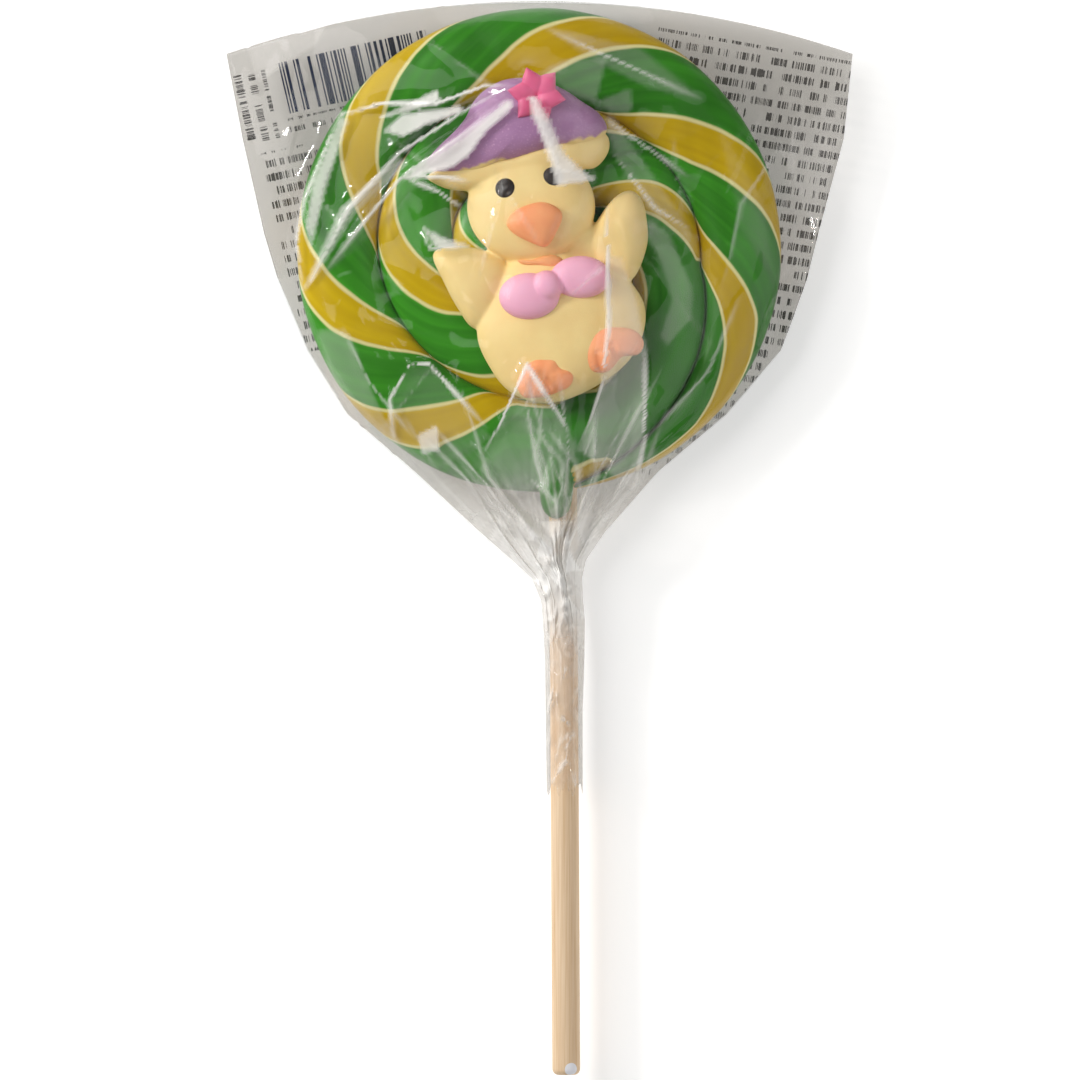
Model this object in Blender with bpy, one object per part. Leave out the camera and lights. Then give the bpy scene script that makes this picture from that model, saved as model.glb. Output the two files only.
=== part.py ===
"""Swirl lollipop: a candy rope coiled into a disc, a sugar chick on it, a stick, and a clear film bag.

Metres, +Z up. The lollipop lies on its back. The origin is on the surface it rests on, under the centre of
the swirl. +X is to the right and +Y up the disc, away from the stick, as seen from the front; +Z points out
of the front.
"""

import math
from dataclasses import dataclass, field

import bmesh
import bpy
import numpy as np

MM = 0.001

# Clearances. The film is drawn ten times thicker than the real 0.03 mm, so that it is a solid.
GAP = 0.3 * MM
FILM_WALL = 0.3 * MM

# Candy rope. The groove and the crown get their full depth and height from these shares of the full width.
SWIRL_RADIUS = 43.2 * MM
ROPE_THICK = 11.0 * MM
ROPE_WIDTH = 15.2 * MM
WIDTH_SWING = 1.25 * MM
SWING_PEAK_DEG = 65.0
TAIL_DEG = -86.0
TAPER_DEG = 80.0
TURN_SHRINK = 0.93
GROOVE_TOP = 3.4 * MM
GROOVE_BACK = 1.5 * MM
STEPS_PER_TURN = 52
TOP_CELLS = 8
BACK_CELLS = 4
TOP_POWER = 2.2
BACK_POWER = 3.0
GROOVE_FULL_SHARE = 0.6
CROWN_FULL_SHARE = 0.75

BACK_Z = FILM_WALL + GAP
MID_Z = BACK_Z + ROPE_THICK / 2
CROWN_Z = BACK_Z + ROPE_THICK

# The rope's end, pressed down over the stick
NUB_TOP_Y = -36.5 * MM
NUB_TIP_Y = -47.9 * MM
NUB_TOP_RADIUS = 3.1 * MM
NUB_TIP_RADIUS = 2.4 * MM
NUB_X = 3.1 * MM
NUB_RISE = 2.7 * MM
NUB_DROP = 0.6 * MM
NUB_ROUND_FROM = 0.75
NUB_END_RADIUS = 0.35 * MM
NUB_SIDES = 14
NUB_STATIONS = 9

# Stick
STICK_DIAMETER = 5.0 * MM
STICK_TOP = (4.2 * MM, -28.0 * MM)
STICK_END = (4.88 * MM, -147.3 * MM)
STICK_EDGE = 0.5 * MM
STICK_SIDES = 28

# Sugar chick: each piece is a dome over an outline
FIGURE_Z = CROWN_Z + GAP
RIM_SHARE = 0.22
FOOT_INSET = 0.88
DOME_POWER = 2.3
DOME_RINGS_DEG = (15, 32, 48, 62, 75, 90)
EYE_RADIUS_MM = 1.9

PETALS = 6
FLOWER_PLACE_MM = (-0.4, 27.0)
FLOWER_RADIUS_MM = 5.0
FLOWER_NOTCH_MM = 3.7
FLOWER_SHOULDER_MM = 4.2
FLOWER_TURN_DEG = 108.0

# Bag
SEAM_HALF = 0.3 * MM
BAG_TOP_Y = 44.4 * MM
BAG_TOP_BOW = 9.4 * MM
BAG_BOW_FROM_Y = 5.0 * MM
BAG_BOW_POWER = 1.4
BAG_MOUTH_Y = -96.2 * MM
BAG_LIP = 0.8 * MM
BAG_LIP_SHARE = 0.02
BAG_TOP_LIP = 0.5 * MM
INNER_SEAM_HALF = 0.05 * MM
FILM_EASE = 0.5 * MM
BAG_COLUMNS = 17
RELAX_ROUNDS = 500
PROBES = (-1.0, -0.5, 0.0, 0.5, 1.0)

# The bag's plan: height on the disc's +Y axis, left edge, right edge, in millimetres.
BAG_OUTLINE_MM = (
    (35.0, -55.8, 56.0),
    (19.8, -52.9, 54.4),
    (3.0, -49.1, 49.9),
    (-5.4, -46.6, 47.8),
    (-17.9, -41.4, 43.3),
    (-29.3, -34.3, 33.6),
    (-39.5, -22.3, 22.5),
    (-50.4, -10.5, 11.8),
    (-55.4, -4.8, 8.4),
    (-58.6, -1.3, 7.7),
    (-62.7, 0.4, 7.9),
    (-66.1, 0.7, 8.2),
    (-73.6, 1.1, 8.1),
    (-82.2, 1.2, 7.8),
    (-96.2, 1.4, 7.8),
)
BAG_STATIONS_MM = (
    44.4, 43.8, 43.0, 41.5, 39.0, 35.5, 31.0, 26.0, 20.0, 13.0,
    6.0, -1.0, -8.0, -15.0, -22.0, -28.0, -33.5, -38.0, -41.5, -44.5,
    -48.0, -51.5, -55.4, -58.6, -62.7, -68.0, -76.0, -86.0, -96.2,
)

COLOURS = {
    "candy_green": ((0.06, 0.24, 0.02), 0.12, 1.0),
    "sugar_yellow": ((0.88, 0.68, 0.30), 0.6, 1.0),
    "sugar_black": ((0.03, 0.025, 0.025), 0.5, 1.0),
    "sugar_orange": ((0.85, 0.36, 0.14), 0.6, 1.0),
    "sugar_pink": ((0.80, 0.36, 0.55), 0.55, 1.0),
    "sugar_rose": ((0.72, 0.13, 0.28), 0.6, 1.0),
    "sugar_purple": ((0.30, 0.16, 0.36), 0.6, 1.0),
    "wood": ((0.72, 0.52, 0.31), 0.65, 1.0),
    "clear_film": ((0.92, 0.92, 0.91), 0.08, 0.25),
}


def clear_scene():
    """Removes every object of the open scene."""
    for old in list(bpy.data.objects):
        bpy.data.objects.remove(old)


def material(slot):
    """The Principled material of one colour slot."""
    found = bpy.data.materials.get(slot)
    if found:
        return found
    colour, roughness, alpha = COLOURS[slot]
    made = bpy.data.materials.new(slot)
    made.use_nodes = True
    shader = made.node_tree.nodes["Principled BSDF"]
    shader.inputs["Base Color"].default_value = (*colour, 1.0)
    shader.inputs["Roughness"].default_value = roughness
    shader.inputs["Metallic"].default_value = 0.0
    shader.inputs["Alpha"].default_value = alpha
    made.diffuse_color = (*colour, alpha)
    return made


def new_object(name, points, faces, slot):
    """A smooth-shaded mesh object of these points and faces, with degenerate corners left out."""
    mesh = bpy.data.meshes.new(name)
    kept = []
    for face in faces:
        corners = list(dict.fromkeys(face))
        if len(corners) > 2:
            kept.append(corners)
    mesh.from_pydata([tuple(p) for p in points], [], kept)
    mesh.validate()
    made = bpy.data.objects.new(name, mesh)
    bpy.context.scene.collection.objects.link(made)
    mesh.materials.append(material(slot))
    mesh.shade_smooth()
    mesh.set_sharp_from_angle(angle=math.radians(50))
    return made


def face_out(thing):
    """Turns a closed mesh's faces to point out."""
    bm = bmesh.new()
    bm.from_mesh(thing.data)
    bmesh.ops.recalc_face_normals(bm, faces=bm.faces)
    if bm.calc_volume(signed=True) < 0:
        bmesh.ops.reverse_faces(bm, faces=bm.faces)
    bm.to_mesh(thing.data)
    bm.free()


def keep_largest(thing):
    """Deletes all but the largest connected body of a mesh, and merges doubled points."""
    bm = bmesh.new()
    bm.from_mesh(thing.data)
    bmesh.ops.remove_doubles(bm, verts=bm.verts, dist=0.002 * MM)
    left = set(bm.faces)
    bodies = []
    while left:
        body = {left.pop()}
        edge = list(body)
        while edge:
            near = {f for e in edge.pop().edges for f in e.link_faces if f in left}
            left -= near
            body |= near
            edge.extend(near)
        bodies.append(body)
    bodies.sort(key=lambda body: sum(f.calc_area() for f in body), reverse=True)
    scraps = [f for body in bodies[1:] for f in body]
    bmesh.ops.delete(bm, geom=scraps, context="FACES")
    bmesh.ops.delete(bm, geom=[v for v in bm.verts if not v.link_faces], context="VERTS")
    bm.to_mesh(thing.data)
    bm.free()


def boolean(thing, tool, operation):
    """Applies a Boolean of thing with tool, and removes tool."""
    modifier = thing.modifiers.new(operation.lower(), "BOOLEAN")
    modifier.operation = operation
    modifier.solver = "EXACT"
    modifier.object = tool
    graph = bpy.context.evaluated_depsgraph_get()
    result = bpy.data.meshes.new_from_object(thing.evaluated_get(graph))
    thing.modifiers.clear()
    thing.data = result
    bpy.data.objects.remove(tool)
    keep_largest(thing)


def closed_curve(corners, count):
    """Points of a smooth closed curve through a few corners, evenly spread over them."""
    knots = np.asarray(corners, float)
    total = len(knots)
    made = []
    for step in range(count):
        place = step * total / count
        k = int(place)
        t = place - k
        p0, p1, p2, p3 = (knots[(k + d) % total] for d in (-1, 0, 1, 2))
        made.append(
            0.5 * (2 * p1 + (p2 - p0) * t + (2 * p0 - 5 * p1 + 4 * p2 - p3) * t * t
                   + (3 * p1 - p0 - 3 * p2 + p3) * t * t * t)
        )
    return np.array(made)


def ellipse(centre_mm, radii_mm, turn_deg=0.0, count=8):
    """Corners of an ellipse, in millimetres, its first radius turned by turn_deg from +X."""
    turn = math.radians(turn_deg)
    made = []
    for k in range(count):
        a = 2 * math.pi * k / count
        x = radii_mm[0] * math.cos(a)
        y = radii_mm[1] * math.sin(a)
        made.append((
            centre_mm[0] + x * math.cos(turn) - y * math.sin(turn),
            centre_mm[1] + x * math.sin(turn) + y * math.cos(turn),
        ))
    return tuple(made)


@dataclass
class Pillow:
    """A moulded sugar piece: a domed top over a closed outline, and a flat back."""

    name: str
    slot: str
    corners_mm: tuple
    height: float
    base: float = FIGURE_Z
    segments: int = 24
    power: float = DOME_POWER
    rim_share: float = RIM_SHARE
    centre_mm: tuple = ()
    over: list = field(default_factory=list)
    reach: tuple = ()

    def centre(self):
        """The pole of the dome, in metres."""
        if self.centre_mm:
            return np.array(self.centre_mm) * MM
        return np.mean(np.array(self.corners_mm), axis=0) * MM

    def reaches(self):
        """Angles round the pole, and the outline's distance from it at each, worked out once."""
        if not self.reach:
            line = self.outline() - self.centre()
            angles = np.arctan2(line[:, 1], line[:, 0])
            order = np.argsort(angles)
            self.reach = (angles[order], np.linalg.norm(line, axis=1)[order])
        return self.reach

    def outline(self, grow=0.0):
        """The outline in metres, moved out by grow."""
        line = closed_curve(np.array(self.corners_mm) * MM, self.segments)
        if not grow:
            return line
        along = np.roll(line, -1, axis=0) - np.roll(line, 1, axis=0)
        after = np.roll(line, -1, axis=0)
        turned = float(np.sum(line[:, 0] * after[:, 1] - line[:, 1] * after[:, 0]))
        out = np.stack([along[:, 1], -along[:, 0]], axis=1) * math.copysign(1, turned)
        return line + grow * out / np.linalg.norm(out, axis=1)[:, None]

    def top_at(self, x, y):
        """Height of the dome's surface over a point, or the base outside the outline."""
        centre = self.centre()
        angles, radii = self.reaches()
        across = np.asarray(x) - centre[0]
        along = np.asarray(y) - centre[1]
        edge = np.interp(np.arctan2(along, across), angles, radii, period=2 * math.pi)
        share = np.minimum(np.hypot(across, along) / edge, 1.0)
        rim = self.height * self.rim_share
        dome = self.base + rim + (self.height - rim) * (1 - share ** self.power) ** (1 / self.power)
        return np.where(share < 1, dome, self.base)

    def height_under(self, piece, step):
        """Height of this dome under the middle of a piece that lies on it, plus a step."""
        return float(self.top_at(*piece.centre())) + step

    def build(self, grow=0.0, name=None):
        """The solid, moved out by grow on every side."""
        centre = self.centre()
        line = self.outline(grow)
        rim = self.height * self.rim_share
        rise = self.height - rim + grow
        rings = []
        for turn in DOME_RINGS_DEG:
            share = math.sin(math.radians(turn))
            z = self.base + rim + rise * (1 - share ** self.power) ** (1 / self.power)
            rings.append((share, z))
        rings.append((FOOT_INSET, self.base - grow))
        points = [(*centre, self.base + self.height + grow)]
        for share, z in rings:
            for p in line:
                flat = centre + (p - centre) * share
                points.append((*flat, z))
        points.append((*centre, self.base - grow))
        count = len(line)
        faces = []
        for k in range(count):
            after = (k + 1) % count
            faces.append((0, 1 + k, 1 + after))
            for ring in range(len(rings) - 1):
                low = 1 + ring * count
                faces.append((low + k, low + count + k, low + count + after, low + after))
            last = 1 + (len(rings) - 1) * count
            faces.append((last + k, len(points) - 1, last + after))
        made = new_object(name or self.name, points, faces, self.slot)
        face_out(made)
        return made

    def fitted(self):
        """The solid, cut back by a gap from every piece that it lies on."""
        made = self.build()
        for host in self.over:
            boolean(made, host.build(GAP, f"{self.name}_cutter"), "DIFFERENCE")
        return made


def taper(phi_deg):
    """Share of the full width that the rope has at phi degrees from its outer end."""
    return min(1.0, max(0.0, phi_deg / TAPER_DEG))


def rope_width(phi_deg):
    """Width of the rope at phi degrees along it from its outer end. The outer turn is a little uneven."""
    angle = math.radians(2 * (phi_deg + TAIL_DEG - SWING_PEAK_DEG))
    turn = phi_deg / 360
    width = ROPE_WIDTH + WIDTH_SWING * math.cos(angle)
    return taper(phi_deg) * width * TURN_SHRINK ** max(0.0, turn - 1)


def swirl_radii():
    """Inner and outer radius of the rope at each step, until the coil has closed at its centre."""
    inner = []
    outer = []
    while not outer or outer[-1] > 0:
        step = len(outer)
        edge = SWIRL_RADIUS if step < STEPS_PER_TURN else inner[step - STEPS_PER_TURN]
        closed = bool(inner) and inner[-1] == 0
        outer.append(edge)
        inner.append(0.0 if closed else max(0.0, edge - rope_width(360 * step / STEPS_PER_TURN)))
    return np.array(inner), np.array(outer)


def arch(u, power):
    """Height of a rounded section, 1 at its middle and 0 at its edges."""
    return max(0.0, 1 - abs(u) ** power) ** (1 / power)


def build_swirl(stick_tool):
    """The coiled rope: its turns share their grooves, and the outer turn has a full round rim."""
    inner, outer = swirl_radii()
    count = len(inner)
    points = []
    faces = []

    def add(radius, phi_deg, z):
        a = math.radians(phi_deg + TAIL_DEG)
        points.append((radius * math.cos(a), radius * math.sin(a), z))
        return len(points) - 1

    centre_top = add(0, 0, CROWN_Z - GROOVE_TOP / 2)
    centre_back = add(0, 0, BACK_Z + GROOVE_BACK / 2)
    grooves = []
    for k in range(count):
        phi = 360 * k / STEPS_PER_TURN
        share = 1.0
        if k < STEPS_PER_TURN:
            share = min(1.0, (outer[k] - inner[k]) / (GROOVE_FULL_SHARE * ROPE_WIDTH))
        if k == 0:
            rim = add(SWIRL_RADIUS, 0, MID_Z)
            grooves.append((rim, rim))
        elif inner[k] == 0:
            grooves.append((centre_top, centre_back))
        else:
            top = add(inner[k], phi, MID_Z + (CROWN_Z - GROOVE_TOP - MID_Z) * share)
            back = add(inner[k], phi, MID_Z - (MID_Z - BACK_Z - GROOVE_BACK) * share)
            grooves.append((top, back))

    sections = []
    for k in range(count):
        phi = 360 * k / STEPS_PER_TURN
        width = outer[k] - inner[k]
        if k < STEPS_PER_TURN:
            rim = grooves[0][0] if k == 0 else add(SWIRL_RADIUS, phi, MID_Z)
            outside = (rim, rim)
        else:
            outside = grooves[k - STEPS_PER_TURN]
        inside = grooves[k]
        flat = inside == outside or width == 0
        rise = min(1.0, math.sqrt(width / (CROWN_FULL_SHARE * ROPE_WIDTH)))
        for side, cells, power in ((0, TOP_CELLS, TOP_POWER), (1, BACK_CELLS, BACK_POWER)):
            reach = CROWN_Z - MID_Z if side == 0 else BACK_Z - MID_Z
            crown = MID_Z + reach * rise
            row = [inside[side]]
            for c in range(1, cells):
                if flat:
                    row.append(inside[side])
                    continue
                u = -math.cos(math.pi * c / cells)
                edge = points[inside[side] if u < 0 else outside[side]][2]
                peak = max(crown, edge) if side == 0 else min(crown, edge)
                radius = inner[k] + width * (u + 1) / 2
                row.append(add(radius, phi, edge + (peak - edge) * arch(u, power)))
            row.append(outside[side])
            sections.append(row)
    for k in range(count - 1):
        for side in (0, 1):
            here = sections[2 * k + side]
            there = sections[2 * k + 2 + side]
            for c in range(len(here) - 1):
                quad = (here[c], here[c + 1], there[c + 1], there[c])
                faces.append(quad if side == 0 else quad[::-1])
    swirl = new_object("candy_swirl", points, faces, "candy_green")
    face_out(swirl)
    boolean(swirl, build_nub(), "UNION")
    boolean(swirl, stick_tool, "DIFFERENCE")
    return swirl


def build_nub():
    """The rope's outer end: a tapered, rounded tongue from the rim down over the stick."""
    sides = NUB_SIDES
    points = []
    for k in range(NUB_STATIONS):
        t = k / (NUB_STATIONS - 1)
        y = NUB_TOP_Y + (NUB_TIP_Y - NUB_TOP_Y) * t
        radius = NUB_TOP_RADIUS + (NUB_TIP_RADIUS - NUB_TOP_RADIUS) * t
        end = max(0.0, (t - NUB_ROUND_FROM) / (1 - NUB_ROUND_FROM))
        radius = max(radius * math.sqrt(max(0.0, 1 - end * end)), NUB_END_RADIUS)
        for s in range(sides):
            a = 2 * math.pi * s / sides
            z = MID_Z + NUB_RISE - NUB_DROP * t + radius * math.sin(a)
            points.append((NUB_X + radius * math.cos(a), y, z))
    faces = [tuple(range(sides)), tuple((NUB_STATIONS - 1) * sides + s for s in range(sides))]
    for k in range(NUB_STATIONS - 1):
        for s in range(sides):
            after = (s + 1) % sides
            low = k * sides
            faces.append((low + s, low + after, low + sides + after, low + sides + s))
    nub = new_object("nub", points, faces, "candy_green")
    face_out(nub)
    return nub


def stick_x(y):
    """Centre line of the stick at a height on the disc's axis."""
    t = (y - STICK_TOP[1]) / (STICK_END[1] - STICK_TOP[1])
    return STICK_TOP[0] + (STICK_END[0] - STICK_TOP[0]) * t


def build_stick(name="stick", grow=0.0):
    """The turned wooden stick, with its edges eased, moved out by grow."""
    radius = STICK_DIAMETER / 2 + grow
    top = STICK_TOP[1] + grow
    end = STICK_END[1] - grow
    ease = STICK_EDGE
    rows = [(top, radius - ease), (top - ease, radius), (end + ease, radius), (end, radius - ease)]
    points = []
    for y, r in rows:
        for s in range(STICK_SIDES):
            a = 2 * math.pi * s / STICK_SIDES
            points.append((stick_x(y) + r * math.cos(a), y, MID_Z + r * math.sin(a)))
    faces = [tuple(range(STICK_SIDES)), tuple(3 * STICK_SIDES + s for s in range(STICK_SIDES))]
    for row in range(3):
        for s in range(STICK_SIDES):
            after = (s + 1) % STICK_SIDES
            low = row * STICK_SIDES
            faces.append((low + s, low + after, low + STICK_SIDES + after, low + STICK_SIDES + s))
    stick = new_object(name, points, faces, "wood")
    face_out(stick)
    return stick


def chick_pieces():
    """The sugar chick's pieces, each with the pieces that it lies on or against."""
    brim = Pillow("hat_brim", "sugar_yellow", (
        (-20.2, 13.0), (-15.5, 15.4), (-7.0, 16.2), (3.8, 20.0), (11.4, 21.1), (12.9, 17.9),
        (10.2, 14.3), (5.5, 14.3), (-3.4, 12.5), (-9.6, 10.4), (-15.5, 10.3), (-19.1, 11.6),
    ), 6.4 * MM, centre_mm=(-2.5, 15.6), segments=28)
    crown = Pillow("hat_crown", "sugar_purple", (
        (-20.4, 15.2), (-16.8, 19.3), (-13.2, 23.4), (-9.6, 28.0), (-5.7, 30.4), (-0.4, 30.2),
        (4.1, 27.3), (10.5, 24.5), (12.3, 21.8), (11.8, 19.5), (8.2, 18.3), (1.1, 17.0),
        (-6.1, 15.0), (-12.9, 13.0), (-18.0, 13.2),
    ), 8.0 * MM, centre_mm=(-3.2, 20.6), segments=30, over=[brim])
    flower = Pillow("flower", "sugar_rose", flower_corners(), 3.6 * MM, segments=36,
                    over=[crown], centre_mm=FLOWER_PLACE_MM, power=1.7)
    flower.base = crown.height_under(flower, -1.4 * MM)
    head = Pillow("chick_head", "sugar_yellow", ellipse((-1.4, 7.5), (11.7, 10.4)), 7.6 * MM,
                  over=[brim, crown])
    body = Pillow("chick_body", "sugar_yellow", (
        (-11.4, -13.4), (-8.4, -22.3), (-3.8, -26.6), (2.5, -27.7), (10.4, -24.6), (16.6, -19.6),
        (19.3, -12.9), (17.7, -7.1), (10.0, -0.4), (-4.3, -1.1),
    ), 7.4 * MM, over=[head])
    wing_left = Pillow("wing_left", "sugar_yellow", (
        (-19.1, -1.1), (-17.0, 0.4), (-11.6, 0.4), (-5.2, -2.7), (-4.8, -9.8), (-10.9, -14.6),
        (-14.5, -10.7), (-17.3, -5.4),
    ), 5.2 * MM, over=[head, body])
    wing_right = Pillow("wing_right", "sugar_yellow", (
        (16.4, 10.6), (13.8, 9.6), (11.1, 6.4), (8.0, 0.2), (10.9, -4.5), (16.3, -6.1),
        (19.3, 0.2), (19.3, 5.0), (18.4, 8.9),
    ), 6.0 * MM, over=[head, body])
    beak = Pillow("beak", "sugar_orange", (
        (-5.7, 4.9), (-3.9, 7.0), (0.2, 8.3), (3.1, 7.4), (4.2, 5.8), (3.4, 3.3), (1.4, 0.2),
        (-1.3, 0.9), (-4.0, 2.2), (-5.5, 3.5),
    ), 3.4 * MM, over=[head], centre_mm=(0.2, 4.6))
    beak.base = head.height_under(beak, -1.0 * MM)
    eyes = []
    for name, place in (("eye_left", (-5.9, 10.6)), ("eye_right", (2.4, 12.6))):
        round_eye = ellipse(place, (EYE_RADIUS_MM, EYE_RADIUS_MM))
        eye = Pillow(name, "sugar_black", round_eye, EYE_RADIUS_MM * MM, segments=18, over=[head])
        eye.base = head.height_under(eye, -1.2 * MM)
        eyes.append(eye)
    eyes[1].over = [head, brim]
    bow_left = Pillow("bow_left", "sugar_pink", ellipse((-1.9, -8.4), (5.4, 4.4), 10), 3.4 * MM,
                      over=[head, body])
    bow_right = Pillow("bow_right", "sugar_pink", ellipse((7.8, -5.0), (5.1, 4.0), 10), 3.2 * MM,
                       over=[head, body, wing_right, bow_left])
    knot = Pillow("bow_knot", "sugar_pink", ellipse((2.9, -6.5), (1.9, 2.5), 10), 3.9 * MM, segments=18,
                  over=[head, body, bow_left, bow_right])
    for piece in (bow_left, bow_right, knot):
        piece.base = body.height_under(bow_left, -1.8 * MM)
    foot_left = Pillow("foot_left", "sugar_orange", (
        (-3.9, -23.9), (-3.2, -21.6), (-1.1, -19.1), (2.7, -19.1), (3.4, -20.7), (4.8, -21.3),
        (6.3, -22.9), (5.5, -24.6), (3.8, -25.4), (1.8, -26.3), (-1.6, -26.6), (-3.6, -25.4),
    ), 3.0 * MM, over=[body], centre_mm=(0.8, -23.0))
    foot_left.base = body.height_under(foot_left, -1.6 * MM)
    foot_right = Pillow("foot_right", "sugar_orange", (
        (7.9, -17.9), (9.8, -15.0), (12.0, -13.6), (14.5, -13.9), (16.8, -14.1), (18.4, -16.3),
        (17.8, -18.7), (15.0, -19.5), (13.2, -20.9), (12.0, -21.9), (9.1, -21.8), (8.0, -19.6),
    ), 3.0 * MM, over=[body], centre_mm=(12.5, -17.6))
    foot_right.base = body.height_under(foot_right, -1.6 * MM)
    return [brim, crown, flower, head, body, wing_left, wing_right, beak, *eyes,
            bow_left, bow_right, knot, foot_left, foot_right]


def flower_corners():
    """Corners of a piped blossom: petals of a full reach, with a notch and a shoulder between them."""
    made = []
    for k in range(3 * PETALS):
        a = math.radians(FLOWER_TURN_DEG + 120 * k / PETALS)
        reach = (FLOWER_RADIUS_MM, FLOWER_NOTCH_MM, FLOWER_SHOULDER_MM)[k % 3]
        made.append((FLOWER_PLACE_MM[0] + reach * math.cos(a), FLOWER_PLACE_MM[1] + reach * math.sin(a)))
    return tuple(made)


def rounded(off, reach, rise):
    """Height of a rounded form above its middle plane: rise over its middle, and 0 from reach outwards."""
    return rise * np.sqrt(np.maximum(0.0, 1 - (off / reach) ** 2))


def disc_rise(x, y):
    """Share of half the disc's thickness that it has over a point, with room for the film round its rim."""
    half = ROPE_WIDTH / 2
    past = np.maximum(0.0, np.hypot(x, y) - (SWIRL_RADIUS + FILM_EASE - half))
    return rounded(past, half, 1.0)


def contents_top(x, y, pillows):
    """Height of the highest thing in the bag over each point."""
    z = MID_Z + (CROWN_Z - MID_Z) * disc_rise(x, y)
    below = y < NUB_TOP_Y
    stick = MID_Z + rounded(x - stick_x(y), STICK_DIAMETER / 2, STICK_DIAMETER / 2)
    z = np.where(below, np.maximum(z, stick), z)
    on_nub = below & (y > NUB_TIP_Y - FILM_EASE) & (np.abs(x - NUB_X) < NUB_TOP_RADIUS)
    nub = MID_Z + NUB_RISE + rounded(x - NUB_X, NUB_TOP_RADIUS, NUB_TOP_RADIUS)
    z = np.where(on_nub, np.maximum(z, nub), z)
    for pillow in pillows:
        top = pillow.top_at(x, y)
        z = np.where(top > pillow.base, np.maximum(z, top), z)
    return z


def contents_back(x, y):
    """Height of the lowest thing in the bag over each point: the disc's flat back, its rim, or the stick."""
    z = MID_Z - (MID_Z - BACK_Z) * disc_rise(x, y)
    stick = MID_Z - rounded(x - stick_x(y), STICK_DIAMETER / 2, STICK_DIAMETER / 2)
    return np.where(y < NUB_TOP_Y, np.minimum(z, stick), z)


def bag_grid(inset):
    """Plan of the bag: the points across it at each station, drawn in from the edges by inset times the lip."""
    heights = np.array([row[0] for row in BAG_OUTLINE_MM]) * MM
    lefts = np.array([row[1] for row in BAG_OUTLINE_MM]) * MM
    rights = np.array([row[2] for row in BAG_OUTLINE_MM]) * MM
    grid = []
    for mid_mm in BAG_STATIONS_MM:
        mid = mid_mm * MM
        share = max(0.0, (mid - BAG_BOW_FROM_Y) / (BAG_TOP_Y - BAG_BOW_FROM_Y))
        bow = BAG_TOP_BOW * share ** BAG_BOW_POWER
        edge = mid - bow
        left = float(np.interp(-edge, -heights, lefts))
        right = float(np.interp(-edge, -heights, rights))
        half = (right - left) / 2
        lip = inset * min(BAG_LIP, FILM_WALL + BAG_LIP_SHARE * half)
        mid -= inset * BAG_TOP_LIP * share
        centre = (left + right) / 2
        row = []
        for c in range(BAG_COLUMNS + 1):
            across = -math.cos(math.pi * c / BAG_COLUMNS)
            row.append((centre + (half - lip) * across, mid - bow * across * across))
        grid.append(row)
    return np.array(grid)


def taut_heights(limit, edge):
    """Heights of a film pulled tight over the limit heights, from its edge height, by repeated averaging."""
    z = np.maximum(limit, edge)
    z[0, :] = edge
    z[:, 0] = edge
    z[:, -1] = edge
    for _ in range(RELAX_ROUNDS):
        mean = (z[:-2, 1:-1] + z[2:, 1:-1] + z[1:-1, :-2] + z[1:-1, 2:]) / 4
        z[1:-1, 1:-1] = np.maximum(limit[1:-1, 1:-1], mean)
        z[-1, 1:-1] = np.maximum(limit[-1, 1:-1], z[-2, 1:-1])
    return z


def bag_shell(inset, away, seam, pillows):
    """Rings of one surface of the bag, kept away from the contents, with this half height along the seams."""
    grid = bag_grid(inset)
    rows, columns = grid.shape[:2]
    padded = np.pad(grid, ((1, 1), (1, 1), (0, 0)), mode="edge")
    up = (padded[:-2, 1:-1] - padded[2:, 1:-1]) / 4
    side = (padded[1:-1, 2:] - padded[1:-1, :-2]) / 4
    top = np.full((rows, columns), MID_Z)
    back = np.full((rows, columns), MID_Z)
    for a in PROBES:
        for b in PROBES:
            near = grid + a * up + b * side
            top = np.maximum(top, contents_top(near[..., 0], near[..., 1], pillows))
            back = np.minimum(back, contents_back(near[..., 0], near[..., 1]))
    front = taut_heights(top + away, MID_Z + seam)
    rear = -taut_heights(-(back - away), -(MID_Z - seam))
    rings = []
    for i in range(rows):
        over = [(grid[i, j, 0], grid[i, j, 1], front[i, j]) for j in range(columns)]
        under = [(grid[i, j, 0], grid[i, j, 1], rear[i, j]) for j in range(columns)]
        rings.append(over + under[::-1])
    return rings


def build_bag(pillows):
    """The film bag: an outer and an inner surface, shut along its top and sides, open round the stick."""
    outside = bag_shell(0.0, GAP + FILM_WALL, SEAM_HALF, pillows)
    inside = bag_shell(1.0, GAP, INNER_SEAM_HALF, pillows)
    count = len(outside[0])
    rows = len(outside)
    points = [p for ring in outside for p in ring] + [p for ring in inside for p in ring]
    second = rows * count
    faces = []
    half = count // 2
    for start in (0, second):
        for i in range(rows - 1):
            for k in range(count):
                after = (k + 1) % count
                low = start + i * count
                quad = (low + k, low + after, low + count + after, low + count + k)
                faces.append(quad if start == 0 else quad[::-1])
        for k in range(half - 1):
            cap = (start + k, start + count - 1 - k, start + count - 2 - k, start + k + 1)
            faces.append(cap if start == 0 else cap[::-1])
    last_out = (rows - 1) * count
    last_in = second + last_out
    for k in range(count):
        after = (k + 1) % count
        faces.append((last_out + k, last_out + after, last_in + after, last_in + k))
    bag = new_object("film_bag", points, faces, "clear_film")
    face_out(bag)
    return bag


def main():
    """Builds every piece."""
    clear_scene()
    build_swirl(build_stick("socket", GAP))
    build_stick()
    pillows = chick_pieces()
    for pillow in pillows:
        pillow.fitted()
    build_bag(pillows)


main()
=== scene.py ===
"""Looks of a swirl lollipop in its clear film bag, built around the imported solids.

Lengths are in metres unless a name ends in mm. The lollipop lies on its back on a pale table, with the
camera straight above it.
"""

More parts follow.
